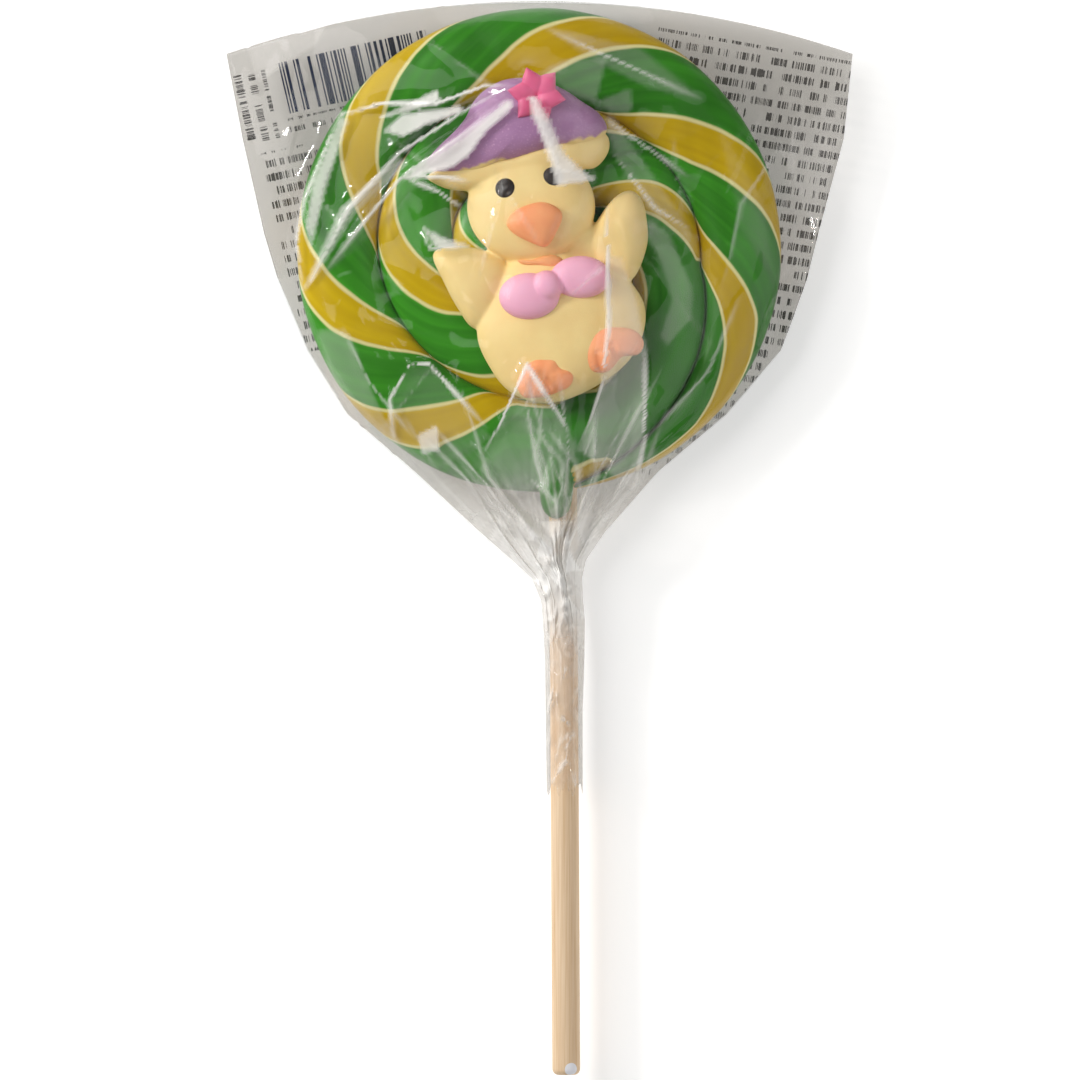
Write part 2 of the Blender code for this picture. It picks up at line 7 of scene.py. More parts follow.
import logging
import math
import random
from collections.abc import Callable, Iterator
from contextlib import contextmanager
from dataclasses import dataclass, field
from enum import Enum
from functools import cache, partial

import bmesh
import bpy
import numpy as np
from mathutils import Matrix, Vector
from mathutils.bvhtree import BVHTree


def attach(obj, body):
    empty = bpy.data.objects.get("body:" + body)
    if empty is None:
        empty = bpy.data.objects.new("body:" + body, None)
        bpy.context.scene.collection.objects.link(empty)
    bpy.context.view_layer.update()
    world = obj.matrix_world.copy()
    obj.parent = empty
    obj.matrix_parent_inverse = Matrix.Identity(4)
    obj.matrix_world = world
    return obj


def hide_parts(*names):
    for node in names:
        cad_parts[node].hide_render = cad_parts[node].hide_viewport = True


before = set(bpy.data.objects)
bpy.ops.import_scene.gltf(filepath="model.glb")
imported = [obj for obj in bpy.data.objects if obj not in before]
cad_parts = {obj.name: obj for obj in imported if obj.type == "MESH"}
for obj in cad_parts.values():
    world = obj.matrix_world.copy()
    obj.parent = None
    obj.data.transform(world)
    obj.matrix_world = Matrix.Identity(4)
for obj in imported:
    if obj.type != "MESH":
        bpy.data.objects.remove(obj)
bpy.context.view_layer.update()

MM = 0.001
COLOURS = {"data_type": "RGBA", "output": 2}
log = logging.getLogger("lollipop")

Points = np.ndarray
Thing = bpy.types.Object
Socket = bpy.types.NodeSocket
Adder = Callable[..., Socket]


def linear(code: str) -> tuple[float, float, float, float]:
    """Turns an sRGB hex colour into linear light.

    Args:
        code: the colour as #RRGGBB.

    Returns:
        Linear red, green, blue, and 1 for alpha.
    """
    parts = [int(code[k:k + 2], 16) / 255 for k in (1, 3, 5)]
    light = [c / 12.92 if c <= 0.04045 else ((c + 0.055) / 1.055) ** 2.4 for c in parts]
    return (*light, 1.0)


def add_node(tree: bpy.types.NodeTree, kind: str, inputs: tuple | dict = (), output: int | str = 0,
             **settings: object) -> Socket:
    """Adds a node to a material.

    Args:
        tree: the material's node tree.
        kind: the node's type, without the words that all types begin with.
        inputs: what each input gets, a socket or a constant: in order, or by title or number.
        output: title or number of the output that is wanted.
        settings: the node's own properties.

    Returns:
        That output, or the first input of a node without outputs.
    """
    made = tree.nodes.new("ShaderNode" + kind)
    for key, value in settings.items():
        setattr(made, key, value)
    for key, value in inputs.items() if isinstance(inputs, dict) else enumerate(inputs):
        if isinstance(value, Socket):
            tree.links.new(value, made.inputs[key])
        else:
            made.inputs[key].default_value = value
    return made.outputs[output] if made.outputs else made.inputs[0]


class Finish:
    """What every finish shares: one material for all the pieces that have it."""

    name: str

    @cache
    def material(self) -> bpy.types.Material:
        """Makes the material, at the first call only.

        Returns:
            The material.
        """
        made = bpy.data.materials.new(self.name)
        made.use_nodes = True
        made.node_tree.nodes.clear()
        add = partial(add_node, made.node_tree)
        add("OutputMaterial", (self.surface(add),))
        return made

    def surface(self, add: Adder) -> Socket:
        """Gives the shader of the surface, which each finish makes in its own way."""
        raise NotImplementedError


@dataclass(frozen=True)
class BoiledSugar(Finish):
    """Boiled sugar, pulled, twisted and coiled while hot.

    The rope's map has U in stripes along the rope, and V once round its section from the outer rim.
    """

    name: str = "boiled_sugar"
    green: str = "#3F9A22"
    deep_green: str = "#226A0C"
    yellow: str = "#CBAE05"
    deep_yellow: str = "#B39302"
    cream: str = "#DDD699"
    roughness: float = 0.30
    ior: float = 1.52
    specular: float = 0.15
    stripe_half: float = 0.205
    cream_width: float = 0.036
    edge_softness: float = 0.013
    waver_mm: float = 14.0
    waver: float = 0.10
    clouding: float = 1.8
    streaking: float = 1.5
    pull_lines: float = 11.0
    grain_mm: float = 2.2

    def surface(self, add: Adder) -> Socket:
        """Makes the shader: two yellow stripes, edged in cream, wound round a green rope.

        Args:
            add: adds a node to the material.

        Returns:
            The shader.
        """
        # Cooling leaves a glassy skin with shallow dimples, so lights on it are soft and a little broken.
        # Pulling leaves streaks of lighter and deeper colour along the stripes, and their edges waver.
        place = add("TexCoord", output="Object")
        rope = add("SeparateXYZ", (add("UVMap", uv_map="rope"),)).node.outputs
        waver = add("TexNoise", {"Vector": place, "Scale": 1000 / self.waver_mm, "Detail": 2.0})
        waver = add("Math", (waver, 0.5), operation="SUBTRACT")
        phase = add("Math", (rope["Y"], -2.0, rope["X"]), operation="MULTIPLY_ADD")
        phase = add("Math", (waver, self.waver, phase), operation="MULTIPLY_ADD")
        cloud = add("TexNoise", {"Vector": place, "Scale": 500 / self.waver_mm, "Detail": 3.0})
        pull = add("CombineXYZ", (add("Math", (phase, self.pull_lines), operation="MULTIPLY"), rope["X"]))
        streak = add("TexNoise", {"Vector": pull, "Scale": 1.0, "Detail": 3.0})
        middle = 0.5 - (self.clouding + self.streaking) / 2
        cloud = add("Math", (cloud, self.clouding, middle), operation="MULTIPLY_ADD")
        cloud = add("Math", (streak, self.streaking, cloud), operation="MULTIPLY_ADD")
        colour = add("Mix", {0: cloud, 6: linear(self.green), 7: linear(self.deep_green)}, **COLOURS)
        yellow = add("Mix", {0: cloud, 6: linear(self.yellow), 7: linear(self.deep_yellow)}, **COLOURS)
        turned = add("Math", (phase, 0.5), operation="PINGPONG")
        edge, soft = 0.5 - self.stripe_half, self.edge_softness
        for start, tone in ((edge, linear(self.cream)), (edge + self.cream_width, yellow)):
            share = add("MapRange", {"Value": turned, "From Min": start - soft, "From Max": start + soft},
                        interpolation_type="SMOOTHSTEP")
            colour = add("Mix", {0: share, 6: colour, 7: tone}, **COLOURS)
        grain = add("TexNoise", {"Vector": place, "Scale": 1000 / self.grain_mm, "Detail": 4.0})
        return add("BsdfPrincipled", {
            "Base Color": colour, "Roughness": self.roughness, "IOR": self.ior,
            "Specular IOR Level": self.specular,
            "Normal": add("Bump", {"Strength": 0.12, "Distance": 0.15 * MM, "Height": grain}),
        })


@dataclass(frozen=True)
class PressedSugar(Finish):
    """Icing sugar, pressed in a mould and dried, with its colours brushed on."""

    name: str
    colour: str
    shade: str
    roughness: float = 0.58
    ior: float = 1.45
    grain_mm: float = 0.35
    mottle_mm: float = 5.0
    mottling: float = 1.6
    speck: str = ""
    under: str = ""
    edge_y: float = 18.6 * MM
    edge_slope: float = 0.27
    edge_ragged: float = 2.6 * MM
    edge_mm: float = 2.4

    def surface(self, add: Adder) -> Socket:
        """Makes the shader: a matt colour, with specks and a brushed lower edge where they are asked for.

        Args:
            add: adds a node to the material.

        Returns:
            The shader.
        """
        # The dried crystals scatter light, so the surface is matt, glows a little at its thin edges and has
        # a fine even grain. Its crystals are too small to show, so the grain is drawn at about a third of a
        # millimetre. Damp places dry slightly darker, which the eye sees as faint mottling.
        place = add("TexCoord", output="Object")
        mottle = add("TexNoise", {"Vector": place, "Scale": 1000 / self.mottle_mm, "Detail": 3.0})
        grain = add("TexNoise", {"Vector": place, "Scale": 1000 / self.grain_mm, "Detail": 2.0})
        share = add("Math", (mottle, self.mottling, 0.4 - self.mottling / 2), operation="MULTIPLY_ADD")
        colour = add("Mix", {0: share, 6: linear(self.colour), 7: linear(self.shade)}, **COLOURS)
        if self.speck:
            spots = add("MapRange", {"Value": grain, "From Min": 0.60, "From Max": 0.70, "To Max": 0.5})
            colour = add("Mix", {0: spots, 6: colour, 7: linear(self.speck)}, **COLOURS)
        if self.under:
            wander = add("TexNoise", {"Vector": place, "Scale": 1000 / self.edge_mm, "Detail": 3.0})
            above = add("VectorMath", (place, (-self.edge_slope, 1, 0)), "Value", operation="DOT_PRODUCT")
            above = add("Math", (wander, self.edge_ragged, above), operation="MULTIPLY_ADD")
            brushed = add("MapRange", {
                "Value": above, "From Min": self.edge_y, "From Max": self.edge_y + 0.5 * MM,
            })
            colour = add("Mix", {0: brushed, 6: linear(self.under), 7: colour}, **COLOURS)
        return add("BsdfPrincipled", {
            "Base Color": colour, "Roughness": self.roughness, "IOR": self.ior,
            "Subsurface Weight": 0.12, "Subsurface Radius": (1.0, 0.6, 0.3), "Subsurface Scale": 1.2 * MM,
            "Normal": add("Bump", {"Strength": 0.25, "Distance": 0.08 * MM, "Height": grain}),
        })


@dataclass(frozen=True)
class BirchDowel(Finish):
    """Birch, turned to a dowel and sanded, unvarnished."""

    name: str = "birch_dowel"
    pale: str = "#E8CDAB"
    fibre: str = "#D2AE84"
    roughness: float = 0.62
    ior: float = 1.5
    fibre_mm: float = 0.32
    stretch: float = 60.0
    pale_spot: str = "#E9E8EC"
    pale_spot_centre: tuple = (5.7 * MM, -146.2 * MM, 8.2 * MM)
    pale_spot_radius: float = 1.15 * MM

    def surface(self, add: Adder) -> Socket:
        """Makes the shader: fine fibres and broad bands drawn out along Y, and a pale spot at the end.

        Args:
            add: adds a node to the material.

        Returns:
            The shader.
        """
        # Sanding leaves dry wood without a shine. Its cut fibres show as fine darker lines along it, and the
        # year rings as wider soft bands. Real fibres are finer than this, too fine to show here.
        place = add("TexCoord", output="Object")
        mixed = 0.0
        for coarser, detail, weight in ((5, 2.0, 0.4), (1, 4.0, 0.6)):
            across = 1000 / (coarser * self.fibre_mm)
            drawn = add("Mapping", {"Vector": place, "Scale": (across, across / self.stretch, across)})
            fibres = add("TexNoise", {"Vector": drawn, "Scale": 1.0, "Detail": detail})
            mixed = add("Math", (fibres, weight, mixed), operation="MULTIPLY_ADD")
        share = add("MapRange", {"Value": mixed, "From Min": 0.36, "From Max": 0.66})
        colour = add("Mix", {0: share, 6: linear(self.pale), 7: linear(self.fibre)}, **COLOURS)
        # A small pale spot near the end of the stick.
        off = add("VectorMath", (place, self.pale_spot_centre), "Value", operation="DISTANCE")
        pale_spot = add("Math", (off, self.pale_spot_radius), operation="LESS_THAN")
        return add("BsdfPrincipled", {
            "Base Color": add("Mix", {0: pale_spot, 6: colour, 7: linear(self.pale_spot)}, **COLOURS),
            "Roughness": self.roughness, "IOR": self.ior,
            "Normal": add("Bump", {"Strength": 0.3, "Distance": 0.05 * MM, "Height": fibres}),
        })


@dataclass(frozen=True)
class CelluloseFilm(Finish):
    """Cellulose film of about 0.03 mm, cast on a drum, cut, and creased by hand when it is gathered."""

    name: str
    tint: str = "#FFFEFD"
    haze: float = 0.003
    haze_and_painted_sheen_colour: str = "#FBF8F3"
    painted_sheen_strength: float = 0.15
    facing_shine: float = 0.013
    roughness: float = 0.03
    crackle_mm: float = 3.0
    printed: bool = False
    ink: tuple = ("#4A4846", 0.70)
    bar_ink: tuple = ("#2B3552", 0.85)
    row_pitch_mm: float = 2.46
    stroke_runs: tuple = ((0.8, 0.42), (5.2, 0.465))
    bar_runs: tuple = ((1.9, 0.5),)
    rows: tuple = (
        (-10.2, (14, 53), (-36, 43)), (13.0, (-44.6, -28), (-8.5, 28)),
        (13.0, (-38.5, -11), (30.5, 33)), (103.0, (30, 42.5), (40.5, 46.5)),
    )
    bars: tuple = ((13.0, (-38, -11), (33.8, 43)),)

    def surface(self, add: Adder) -> Socket:
        """Makes the shader: clear film with a mirror share, a milky share that paints sheen and highlights,
        and ink where asked.

        Args:
            add: adds a node to the material.

        Returns:
            The shader.
        """
        # Casting leaves both faces smooth as glass: clear to look through, mirror-bright at a glancing angle.
        # Creasing breaks the lights up. The milky share is painted light: painted highlights along folds,
        # painted sheen on facets.
        place = add("TexCoord", output="Object")
        crackle = add("TexNoise", {
            "Vector": place, "Scale": 1000 / self.crackle_mm, "Detail": 3.0, "Distortion": 1.2,
        })
        normal = add("Bump", {"Strength": 0.10, "Distance": 0.25 * MM, "Height": crackle})
        facing = add("LayerWeight", {"Blend": 0.5, "Normal": normal}, "Facing")
        glance = add("Math", (facing, 5.0), operation="POWER")
        shine = add("Math", (glance, 1 - self.facing_shine, self.facing_shine), operation="MULTIPLY_ADD")
        # The milky share is painted sheen and painted highlights, over the film's own faint haze.
        veil = add("Attribute", output="Fac", attribute_name="veil")
        milky = add("Math", (veil, self.painted_sheen_strength, self.haze), operation="MULTIPLY_ADD")
        clear = add("BsdfTransparent", (linear(self.tint),))
        body = add("MixShader", (milky, clear, add("BsdfDiffuse", (linear(self.haze_and_painted_sheen_colour),))))
        prints = ((self.ink, self.rows, self.stroke_runs), (self.bar_ink, self.bars, self.bar_runs))
        for (colour, strength), patches, runs in prints if self.printed else ():
            share = 0.0
            for patch in patches:
                share = add("Math", (share, self.strokes(add, *patch, runs)), operation="MAXIMUM")
            share = add("Math", (share, strength), operation="MULTIPLY")
            body = add("MixShader", (share, body, add("BsdfDiffuse", (linear(colour),))))
        mirror = add("BsdfGlossy", {"Roughness": self.roughness, "Normal": normal})
        return add("MixShader", (shine, body, mirror))

    def strokes(self, add: Adder, turn_deg: float, x_mm: tuple, y_mm: tuple, runs: tuple) -> Socket:
        """Gives the ink of one oblong of print: rows of small upright strokes, or a block of tall bars.

        Args:
            add: adds a node to the material.
            turn_deg: how far the oblong is turned anticlockwise.
            x_mm: its left and right edges, along its own axes.
            y_mm: its lower and upper edges.
            runs: for each pattern of marks and gaps, how many there are to a millimetre and how much of it is
                gap. Small strokes have one pattern for words and one for strokes.

        Returns:
            The share of ink.
        """
        turned = add("Mapping", {
            "Vector": add("TexCoord", output="Object"), "Scale": (1 / MM,) * 3,
            "Rotation": (0, 0, -math.radians(turn_deg)),
        })
        axes = add("SeparateXYZ", (turned,)).node.outputs
        share = 1.0
        for axis, (low, high) in ((axes["X"], x_mm), (axes["Y"], y_mm)):
            within = add("Math", (axis, (low + high) / 2, (high - low) / 2), operation="COMPARE")
            share = add("Math", (share, within), operation="MULTIPLY")
        small = len(runs) > 1
        row = add("Math", (axes["Y"], self.row_pitch_mm), operation="DIVIDE")
        lane = add("Math", (row,), operation="FLOOR")
        lane = add("Math", (lane, 7.3 if small else 0.0), operation="MULTIPLY")
        for spacing, gap in runs:
            along = add("Math", (axes["X"], spacing), operation="MULTIPLY")
            run = add("TexNoise", {"Vector": add("CombineXYZ", (along, lane)), "Scale": 1.0, "Detail": 0.0})
            mark = add("Math", (run, gap), operation="GREATER_THAN")
            share = add("Math", (share, mark), operation="MULTIPLY")
        if small:
            short = add("Math", (run, -0.35, 0.44), operation="MULTIPLY_ADD")
            high = add("Math", (row, 0.5), operation="PINGPONG")
            tall = add("Math", (high, short), operation="GREATER_THAN")
            share = add("Math", (share, tall), operation="MULTIPLY")
        return share


@dataclass(frozen=True)
class TablePaint(Finish):
    """Matt white paint, rolled on and brightly lit from all round, so that the eye sees no edge or grain."""

    name: str = "table_paint"
    colour: str = "#F7F6F4"
    roughness: float = 0.8
    glow_colour: str = "#FFFFFF"
    glow: float = 0.38

    def surface(self, add: Adder) -> Socket:
        """Makes the shader: plain paint, lifted by a little light of its own.

        Args:
            add: adds a node to the material.

        Returns:
            The shader.
        """
        return add("BsdfPrincipled", {
            "Base Color": linear(self.colour), "Roughness": self.roughness,
            "Emission Color": linear(self.glow_colour), "Emission Strength": self.glow,
        })


def deselect() -> None:
    """Leaves edit mode and deselects everything."""
    if bpy.context.object and bpy.context.object.mode != "OBJECT":
        bpy.ops.object.mode_set(mode="OBJECT")
    bpy.ops.object.select_all(action="DESELECT")


def take(thing: Thing) -> None:
    """Selects one object alone and makes it the active one.

    Args:
        thing: the object.
    """
    deselect()
    thing.select_set(True)
    bpy.context.view_layer.objects.active = thing


def settle(thing: Thing) -> None:
    """Applies an object's place, turn and scale to its mesh."""
    take(thing)
    bpy.ops.object.transform_apply(location=True, rotation=True, scale=True)


def primitive(operator: Callable, name: str, **settings: object) -> Thing:
    """Adds a primitive, with its place and turn applied.

    Args:
        operator: the operator that adds it.
        name: the object's name.
        settings: the operator's settings.

    Returns:
        The new object, selected alone.
    """
    deselect()
    operator(**settings)
    made = bpy.context.object
    made.name = made.data.name = name
    settle(made)
    return made


@contextmanager
def editing(thing: Thing) -> Iterator[None]:
    """Opens an object in edit mode with all of it selected, and leaves edit mode afterwards.

    Args:
        thing: the object.

    Returns:
        The context, to be used in a with statement.
    """
    take(thing)
    bpy.ops.object.mode_set(mode="EDIT")
    bpy.ops.mesh.select_all(action="SELECT")
    yield
    bpy.ops.object.mode_set(mode="OBJECT")


def add_modifier(thing: Thing, kind: str, **settings: object) -> None:
    """Adds a modifier and applies it.

    Args:
        thing: the object.
        kind: the modifier's type.
        settings: its properties.
    """
    take(thing)
    modifier = thing.modifiers.new(kind.lower(), kind)
    for key, value in settings.items():
        setattr(modifier, key, value)
    bpy.ops.object.modifier_apply(modifier=modifier.name)


def refine(thing: Thing, levels: int = 2) -> None:
    """Rounds a mesh by subdivision."""
    add_modifier(thing, "SUBSURF", levels=levels, render_levels=levels)


def join(things: list[Thing], name: str) -> Thing:
    """Joins objects into the first.

    Args:
        things: the objects.
        name: the joined object's name.

    Returns:
        The joined object.
    """
    deselect()
    for thing in things:
        thing.select_set(True)
    bpy.context.view_layer.objects.active = things[0]
    if len(things) > 1:
        bpy.ops.object.join()
    things[0].name = things[0].data.name = name
    return things[0]


def melt(thing: Thing, voxel_mm: float, rounds: int) -> None:
    """Runs a mesh's parts together, with soft valleys between them.

    Args:
        thing: the object.
        voxel_mm: the size of detail kept.
        rounds: how often the result is smoothed.
    """
    add_modifier(thing, "REMESH", mode="VOXEL", voxel_size=voxel_mm * MM)
    add_modifier(thing, "SMOOTH", factor=0.5, iterations=rounds)


def dress(thing: Thing, finish: bpy.types.Material) -> None:
    """Gives an object one material and smooth shading.

    Args:
        thing: the object.
        finish: the material.
    """
    thing.data.materials.clear()
    thing.data.materials.append(finish)
    take(thing)
    bpy.ops.object.shade_smooth()


def report(thing: Thing, nodes: list[str]) -> None:
    """Hangs a finished piece on the body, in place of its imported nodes, and logs it.

    Args:
        thing: the piece.
        nodes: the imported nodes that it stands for.
    """
    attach(thing, "root")
    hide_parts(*nodes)
    log.info("%s: %d faces, in place of %s", thing.name, len(thing.data.polygons), ", ".join(nodes))


def smooth_loop(corners_mm: tuple, count: int) -> Points:
    """Points of a smooth closed curve through a few corners.

    Args:
        corners_mm: the corners, in millimetres.
        count: how many points.

    Returns:
        The points, in metres.
    """
    knots = np.asarray(corners_mm, float) * MM
    place = np.arange(count) * len(knots) / count
    k = place.astype(int)
    t = (place - k)[:, None]
    p0, p1, p2, p3 = (knots[(k + step) % len(knots)] for step in (-1, 0, 1, 2))
    return 0.5 * (2 * p1 + (p2 - p0) * t + (2 * p0 - 5 * p1 + 4 * p2 - p3) * t * t
                  + (3 * p1 - p0 - 3 * p2 + p3) * t ** 3)


def oval(centre_mm: tuple[float, float], radii_mm: tuple[float, float], count: int = 12) -> tuple:
    """Corners of an ellipse.

    Args:
        centre_mm: its middle, in millimetres.
        radii_mm: its half width and half height, in millimetres.
        count: how many corners.

    Returns:
        The corners, in millimetres.
    """
    (x, y), (wide, tall) = centre_mm, radii_mm
    turns = [2 * math.pi * k / count for k in range(count)]
    return tuple((x + wide * math.cos(turn), y + tall * math.sin(turn)) for turn in turns)


@dataclass
class CandySwirl:
    """The candy: a rope coiled into a disc from its centre, its thin outer end pressed over the stick."""

    radius: float = 43.2 * MM
    thick: float = 11.0 * MM
    width: float = 15.2 * MM
    width_swing: float = 1.25 * MM
    swing_peak_deg: float = 65.0
    tail_deg: float = -86.0
    taper_deg: float = 80.0
    turn_shrink: float = 0.93
    groove_top: float = 3.4 * MM
    groove_back: float = 1.5 * MM
    back_z: float = 0.6 * MM
    steps_per_turn: int = 180
    top_cells: int = 20
    back_cells: int = 8
    top_power: float = 2.2
    back_power: float = 3.0
    full_rise_share: float = 0.75
    full_groove_share: float = 0.6
    seam_run: float = 9 * MM
    seam_half: float = 5 * MM
    seam_above: float = 1.5 * MM
    seam_rounds: int = 6
    swell: float = 0.35 * MM
    swell_size: float = 14 * MM
    tongue_x: float = 3.1 * MM
    tongue_mm: tuple = (
        (-30.0, 7.0, 1.6), (-33.5, 8.2, 2.5), (-37.0, 8.9, 3.0), (-41.0, 8.9, 3.1), (-44.0, 8.6, 3.0),
        (-46.2, 8.3, 2.5), (-47.4, 8.2, 1.6), (-47.9, 8.1, 0.6),
    )
    plain_rim: tuple = (
        (329, 0.0), (330, 0.16), (360.5, 0.16), (361, 0.0), (370, 0.0), (379, 0.16), (432, 0.16), (452, 0.0),
    )
    plain_groove: tuple = ((14, 0.5), (20, 0.42), (62, 0.42), (70, 0.5))
    crossings: tuple = (
        (-40, 1.60), (38, 1.60), (69, 2), (91, 2.5), (116, 3), (174, 4), (238, 5), (286, 6), (328, 7),
        (347, 7.55), (370, 7.55), (378, 7.42), (440, 7.42), (474, 8), (500, 8.5), (559, 9), (644, 10),
        (731, 11), (828, 12), (925, 13), (1100, 15), (1400, 18),
    )

    def mid_z(self) -> float:
        """Height of the rope's middle."""
        return self.back_z + self.thick / 2

    def crown_z(self) -> float:
        """Height of the rope's crown."""
        return self.back_z + self.thick

    def rope_width(self, phi: float) -> float:
        """Width of the rope at one place.

        Args:
            phi: angle along the rope from its outer end, in degrees.

        Returns:
            The width.
        """
        swing = math.cos(math.radians(2 * (phi + self.tail_deg - self.swing_peak_deg)))
        taper = min(1.0, max(0.0, phi / self.taper_deg))
        return taper * (self.width + self.width_swing * swing) * self.turn_shrink ** max(0.0, phi / 360 - 1)

    def radii(self) -> tuple[list[float], list[float]]:
        """Works out how the rope lies, turn within turn, until the coil closes at its centre.

        Returns:
            The rope's inner and outer radius at each step.
        """
        inner, outer = [], []
        while not outer or outer[-1] > 0:
            step = len(outer)
            edge = self.radius if step < self.steps_per_turn else inner[step - self.steps_per_turn]
            closed = bool(inner) and inner[-1] == 0
            outer.append(edge)
            width = self.rope_width(360 * step / self.steps_per_turn)
            inner.append(0.0 if closed else max(0.0, edge - width))
        return inner, outer

    def groove_heights(self, inner: list[float], outer: list[float]) -> tuple[list[float], list[float]]:
        """Works out the groove between one turn and the next.

        Args:
            inner: the rope's inner radius at each step.
            outer: its outer radius.

        Returns:
            The groove's height inside each step, on top and on the back.
        """
        tops, backs = [], []
        for k, (low, high) in enumerate(zip(inner, outer)):
            full = self.full_groove_share * self.width
            share = min(1.0, (high - low) / full) if k < self.steps_per_turn else 1.0
            if low == 0:
                tops.append(self.crown_z() - self.groove_top / 2)
                backs.append(self.back_z + self.groove_back / 2)
            else:
                tops.append(self.mid_z() + (self.thick / 2 - self.groove_top) * share)
                backs.append(self.mid_z() - (self.thick / 2 - self.groove_back) * share)
        return tops, backs

    def strip(self, name: str, top: bool) -> Thing:
        """One side of the coil, as a grid bent round the spiral.

        Args:
            name: the object's name.
            top: True for the shown side.

        Returns:
            The strip, with the rope's map.
        """
        inner, outer = self.radii()
        tops, backs = self.groove_heights(inner, outer)
        grooves = tops if top else backs
        cells = self.top_cells if top else self.back_cells
        power = self.top_power if top else self.back_power
        turn = self.steps_per_turn
        places, charts = [], []
        for k, (low, high) in enumerate(zip(inner, outer)):
            phi = 360 * k / turn
            angle = math.radians(phi + self.tail_deg)
            width = high - low
            inside = self.mid_z() if k == 0 else grooves[k]
            outside = self.mid_z() if k < turn else grooves[k - turn]
            rise = min(1.0, math.sqrt(width / (self.full_rise_share * self.width)))
            crown = self.mid_z() + (1 if top else -1) * self.thick / 2 * rise
            stripe, rim, groove = (float(np.interp(phi, *zip(*table)))
                                   for table in (self.crossings, self.plain_rim, self.plain_groove))
            for c in range(cells + 1):
                u = -math.cos(math.pi * c / cells)
                edge = inside if u < 0 else outside
                peak = max(crown, edge) if top else min(crown, edge)
                arch = max(0.0, 1 - abs(u) ** power) ** (1 / power)
                radius = low + width * (u + 1) / 2
                z = edge + (peak - edge) * arch if low < high else grooves[k]
                places.append((radius * math.cos(angle), radius * math.sin(angle), z))
                around = 0.5 - 0.5 * c / cells if top else 0.5 + 0.5 * c / cells
                if top:
                    # In these places the real stripes run straight over the rim or down into the groove.
                    around = min(max(around, rim), groove)
                charts.append((stripe, around))
        made = primitive(bpy.ops.mesh.primitive_grid_add, name, x_subdivisions=cells,
                         y_subdivisions=len(inner) - 1, size=self.radius)
        made.data.vertices.foreach_set("co", np.array(places).ravel())
        chart = made.data.uv_layers.active
        chart.name = "rope"
        corners = np.zeros(len(made.data.loops), int)
        made.data.loops.foreach_get("vertex_index", corners)
        chart.data.foreach_set("uv", np.array(charts)[corners].ravel())
        return made

    def tongue(self) -> Thing:
        """Builds the rope's end: a round tongue that leaves the rope near the rim and lies over the stick.

        Returns:
            The tongue.
        """
        y, z, reach = (value * MM for value in self.tongue_mm[0])
        made = primitive(bpy.ops.mesh.primitive_circle_add, "candy_tongue", vertices=32, radius=reach,
                         fill_type="NGON", location=(self.tongue_x, y, z), rotation=(math.pi / 2, 0, 0))
        with editing(made):
            for row in self.tongue_mm[1:]:
                next_y, next_z, next_reach = (value * MM for value in row)
                step = (0, next_y - y, next_z - z)
                bpy.ops.mesh.extrude_region_move(TRANSFORM_OT_translate={"value": step})
                ratio, middle = next_reach / reach, (self.tongue_x, next_y, next_z)
                bpy.ops.transform.resize(value=(ratio, 1, ratio), center_override=middle)
                y, z, reach = next_y, next_z, next_reach
            bpy.ops.mesh.select_all(action="SELECT")
            bpy.ops.mesh.normals_make_consistent(inside=False)
        refine(made, 2)
        chart = made.data.uv_layers.active or made.data.uv_layers.new()
        chart.name = "rope"
        for corner in chart.data:
            corner.uv = (0.0, 0.0)
        return made

    def blend(self, disc: Thing) -> None:
        """Softens the seam where the tongue leaves the rope.

        Args:
            disc: the disc and the tongue, joined.
        """
        shape = bmesh.new()
        shape.from_mesh(disc.data)
        low, high = self.tongue_mm[2][0] * MM - self.seam_run, self.tongue_mm[0][0] * MM
        seam = [v for v in shape.verts if abs(v.co.x - self.tongue_x) < self.seam_half and low < v.co.y < high
                and v.co.z > self.mid_z() + self.seam_above]
        for _ in range(self.seam_rounds):
            bmesh.ops.smooth_vert(shape, verts=seam, factor=0.5, use_axis_x=True, use_axis_y=True,
                                  use_axis_z=True)
        shape.to_mesh(disc.data)
        shape.free()

    def build(self) -> Thing:
        """Builds the candy.

        Returns:
            The finished disc.
        """
        disc = join([self.strip("candy_disc", True), self.strip("candy_back", False)], "candy_disc")
        with editing(disc):
            bpy.ops.mesh.remove_doubles(threshold=0.01 * MM)
            bpy.ops.mesh.normals_make_consistent(inside=False)
        tongue = self.tongue()
        add_modifier(disc, "BOOLEAN", operation="UNION", object=tongue, solver="EXACT")
        bpy.data.objects.remove(tongue)
        self.blend(disc)
        swell = bpy.data.textures.new("candy_swell", "CLOUDS")
        swell.noise_scale = self.swell_size
        add_modifier(disc, "DISPLACE", texture=swell, texture_coords="LOCAL", strength=self.swell,
                     mid_level=0.5)
        dress(disc, BoiledSugar().material())
        report(disc, ["candy_swirl"])
        return disc


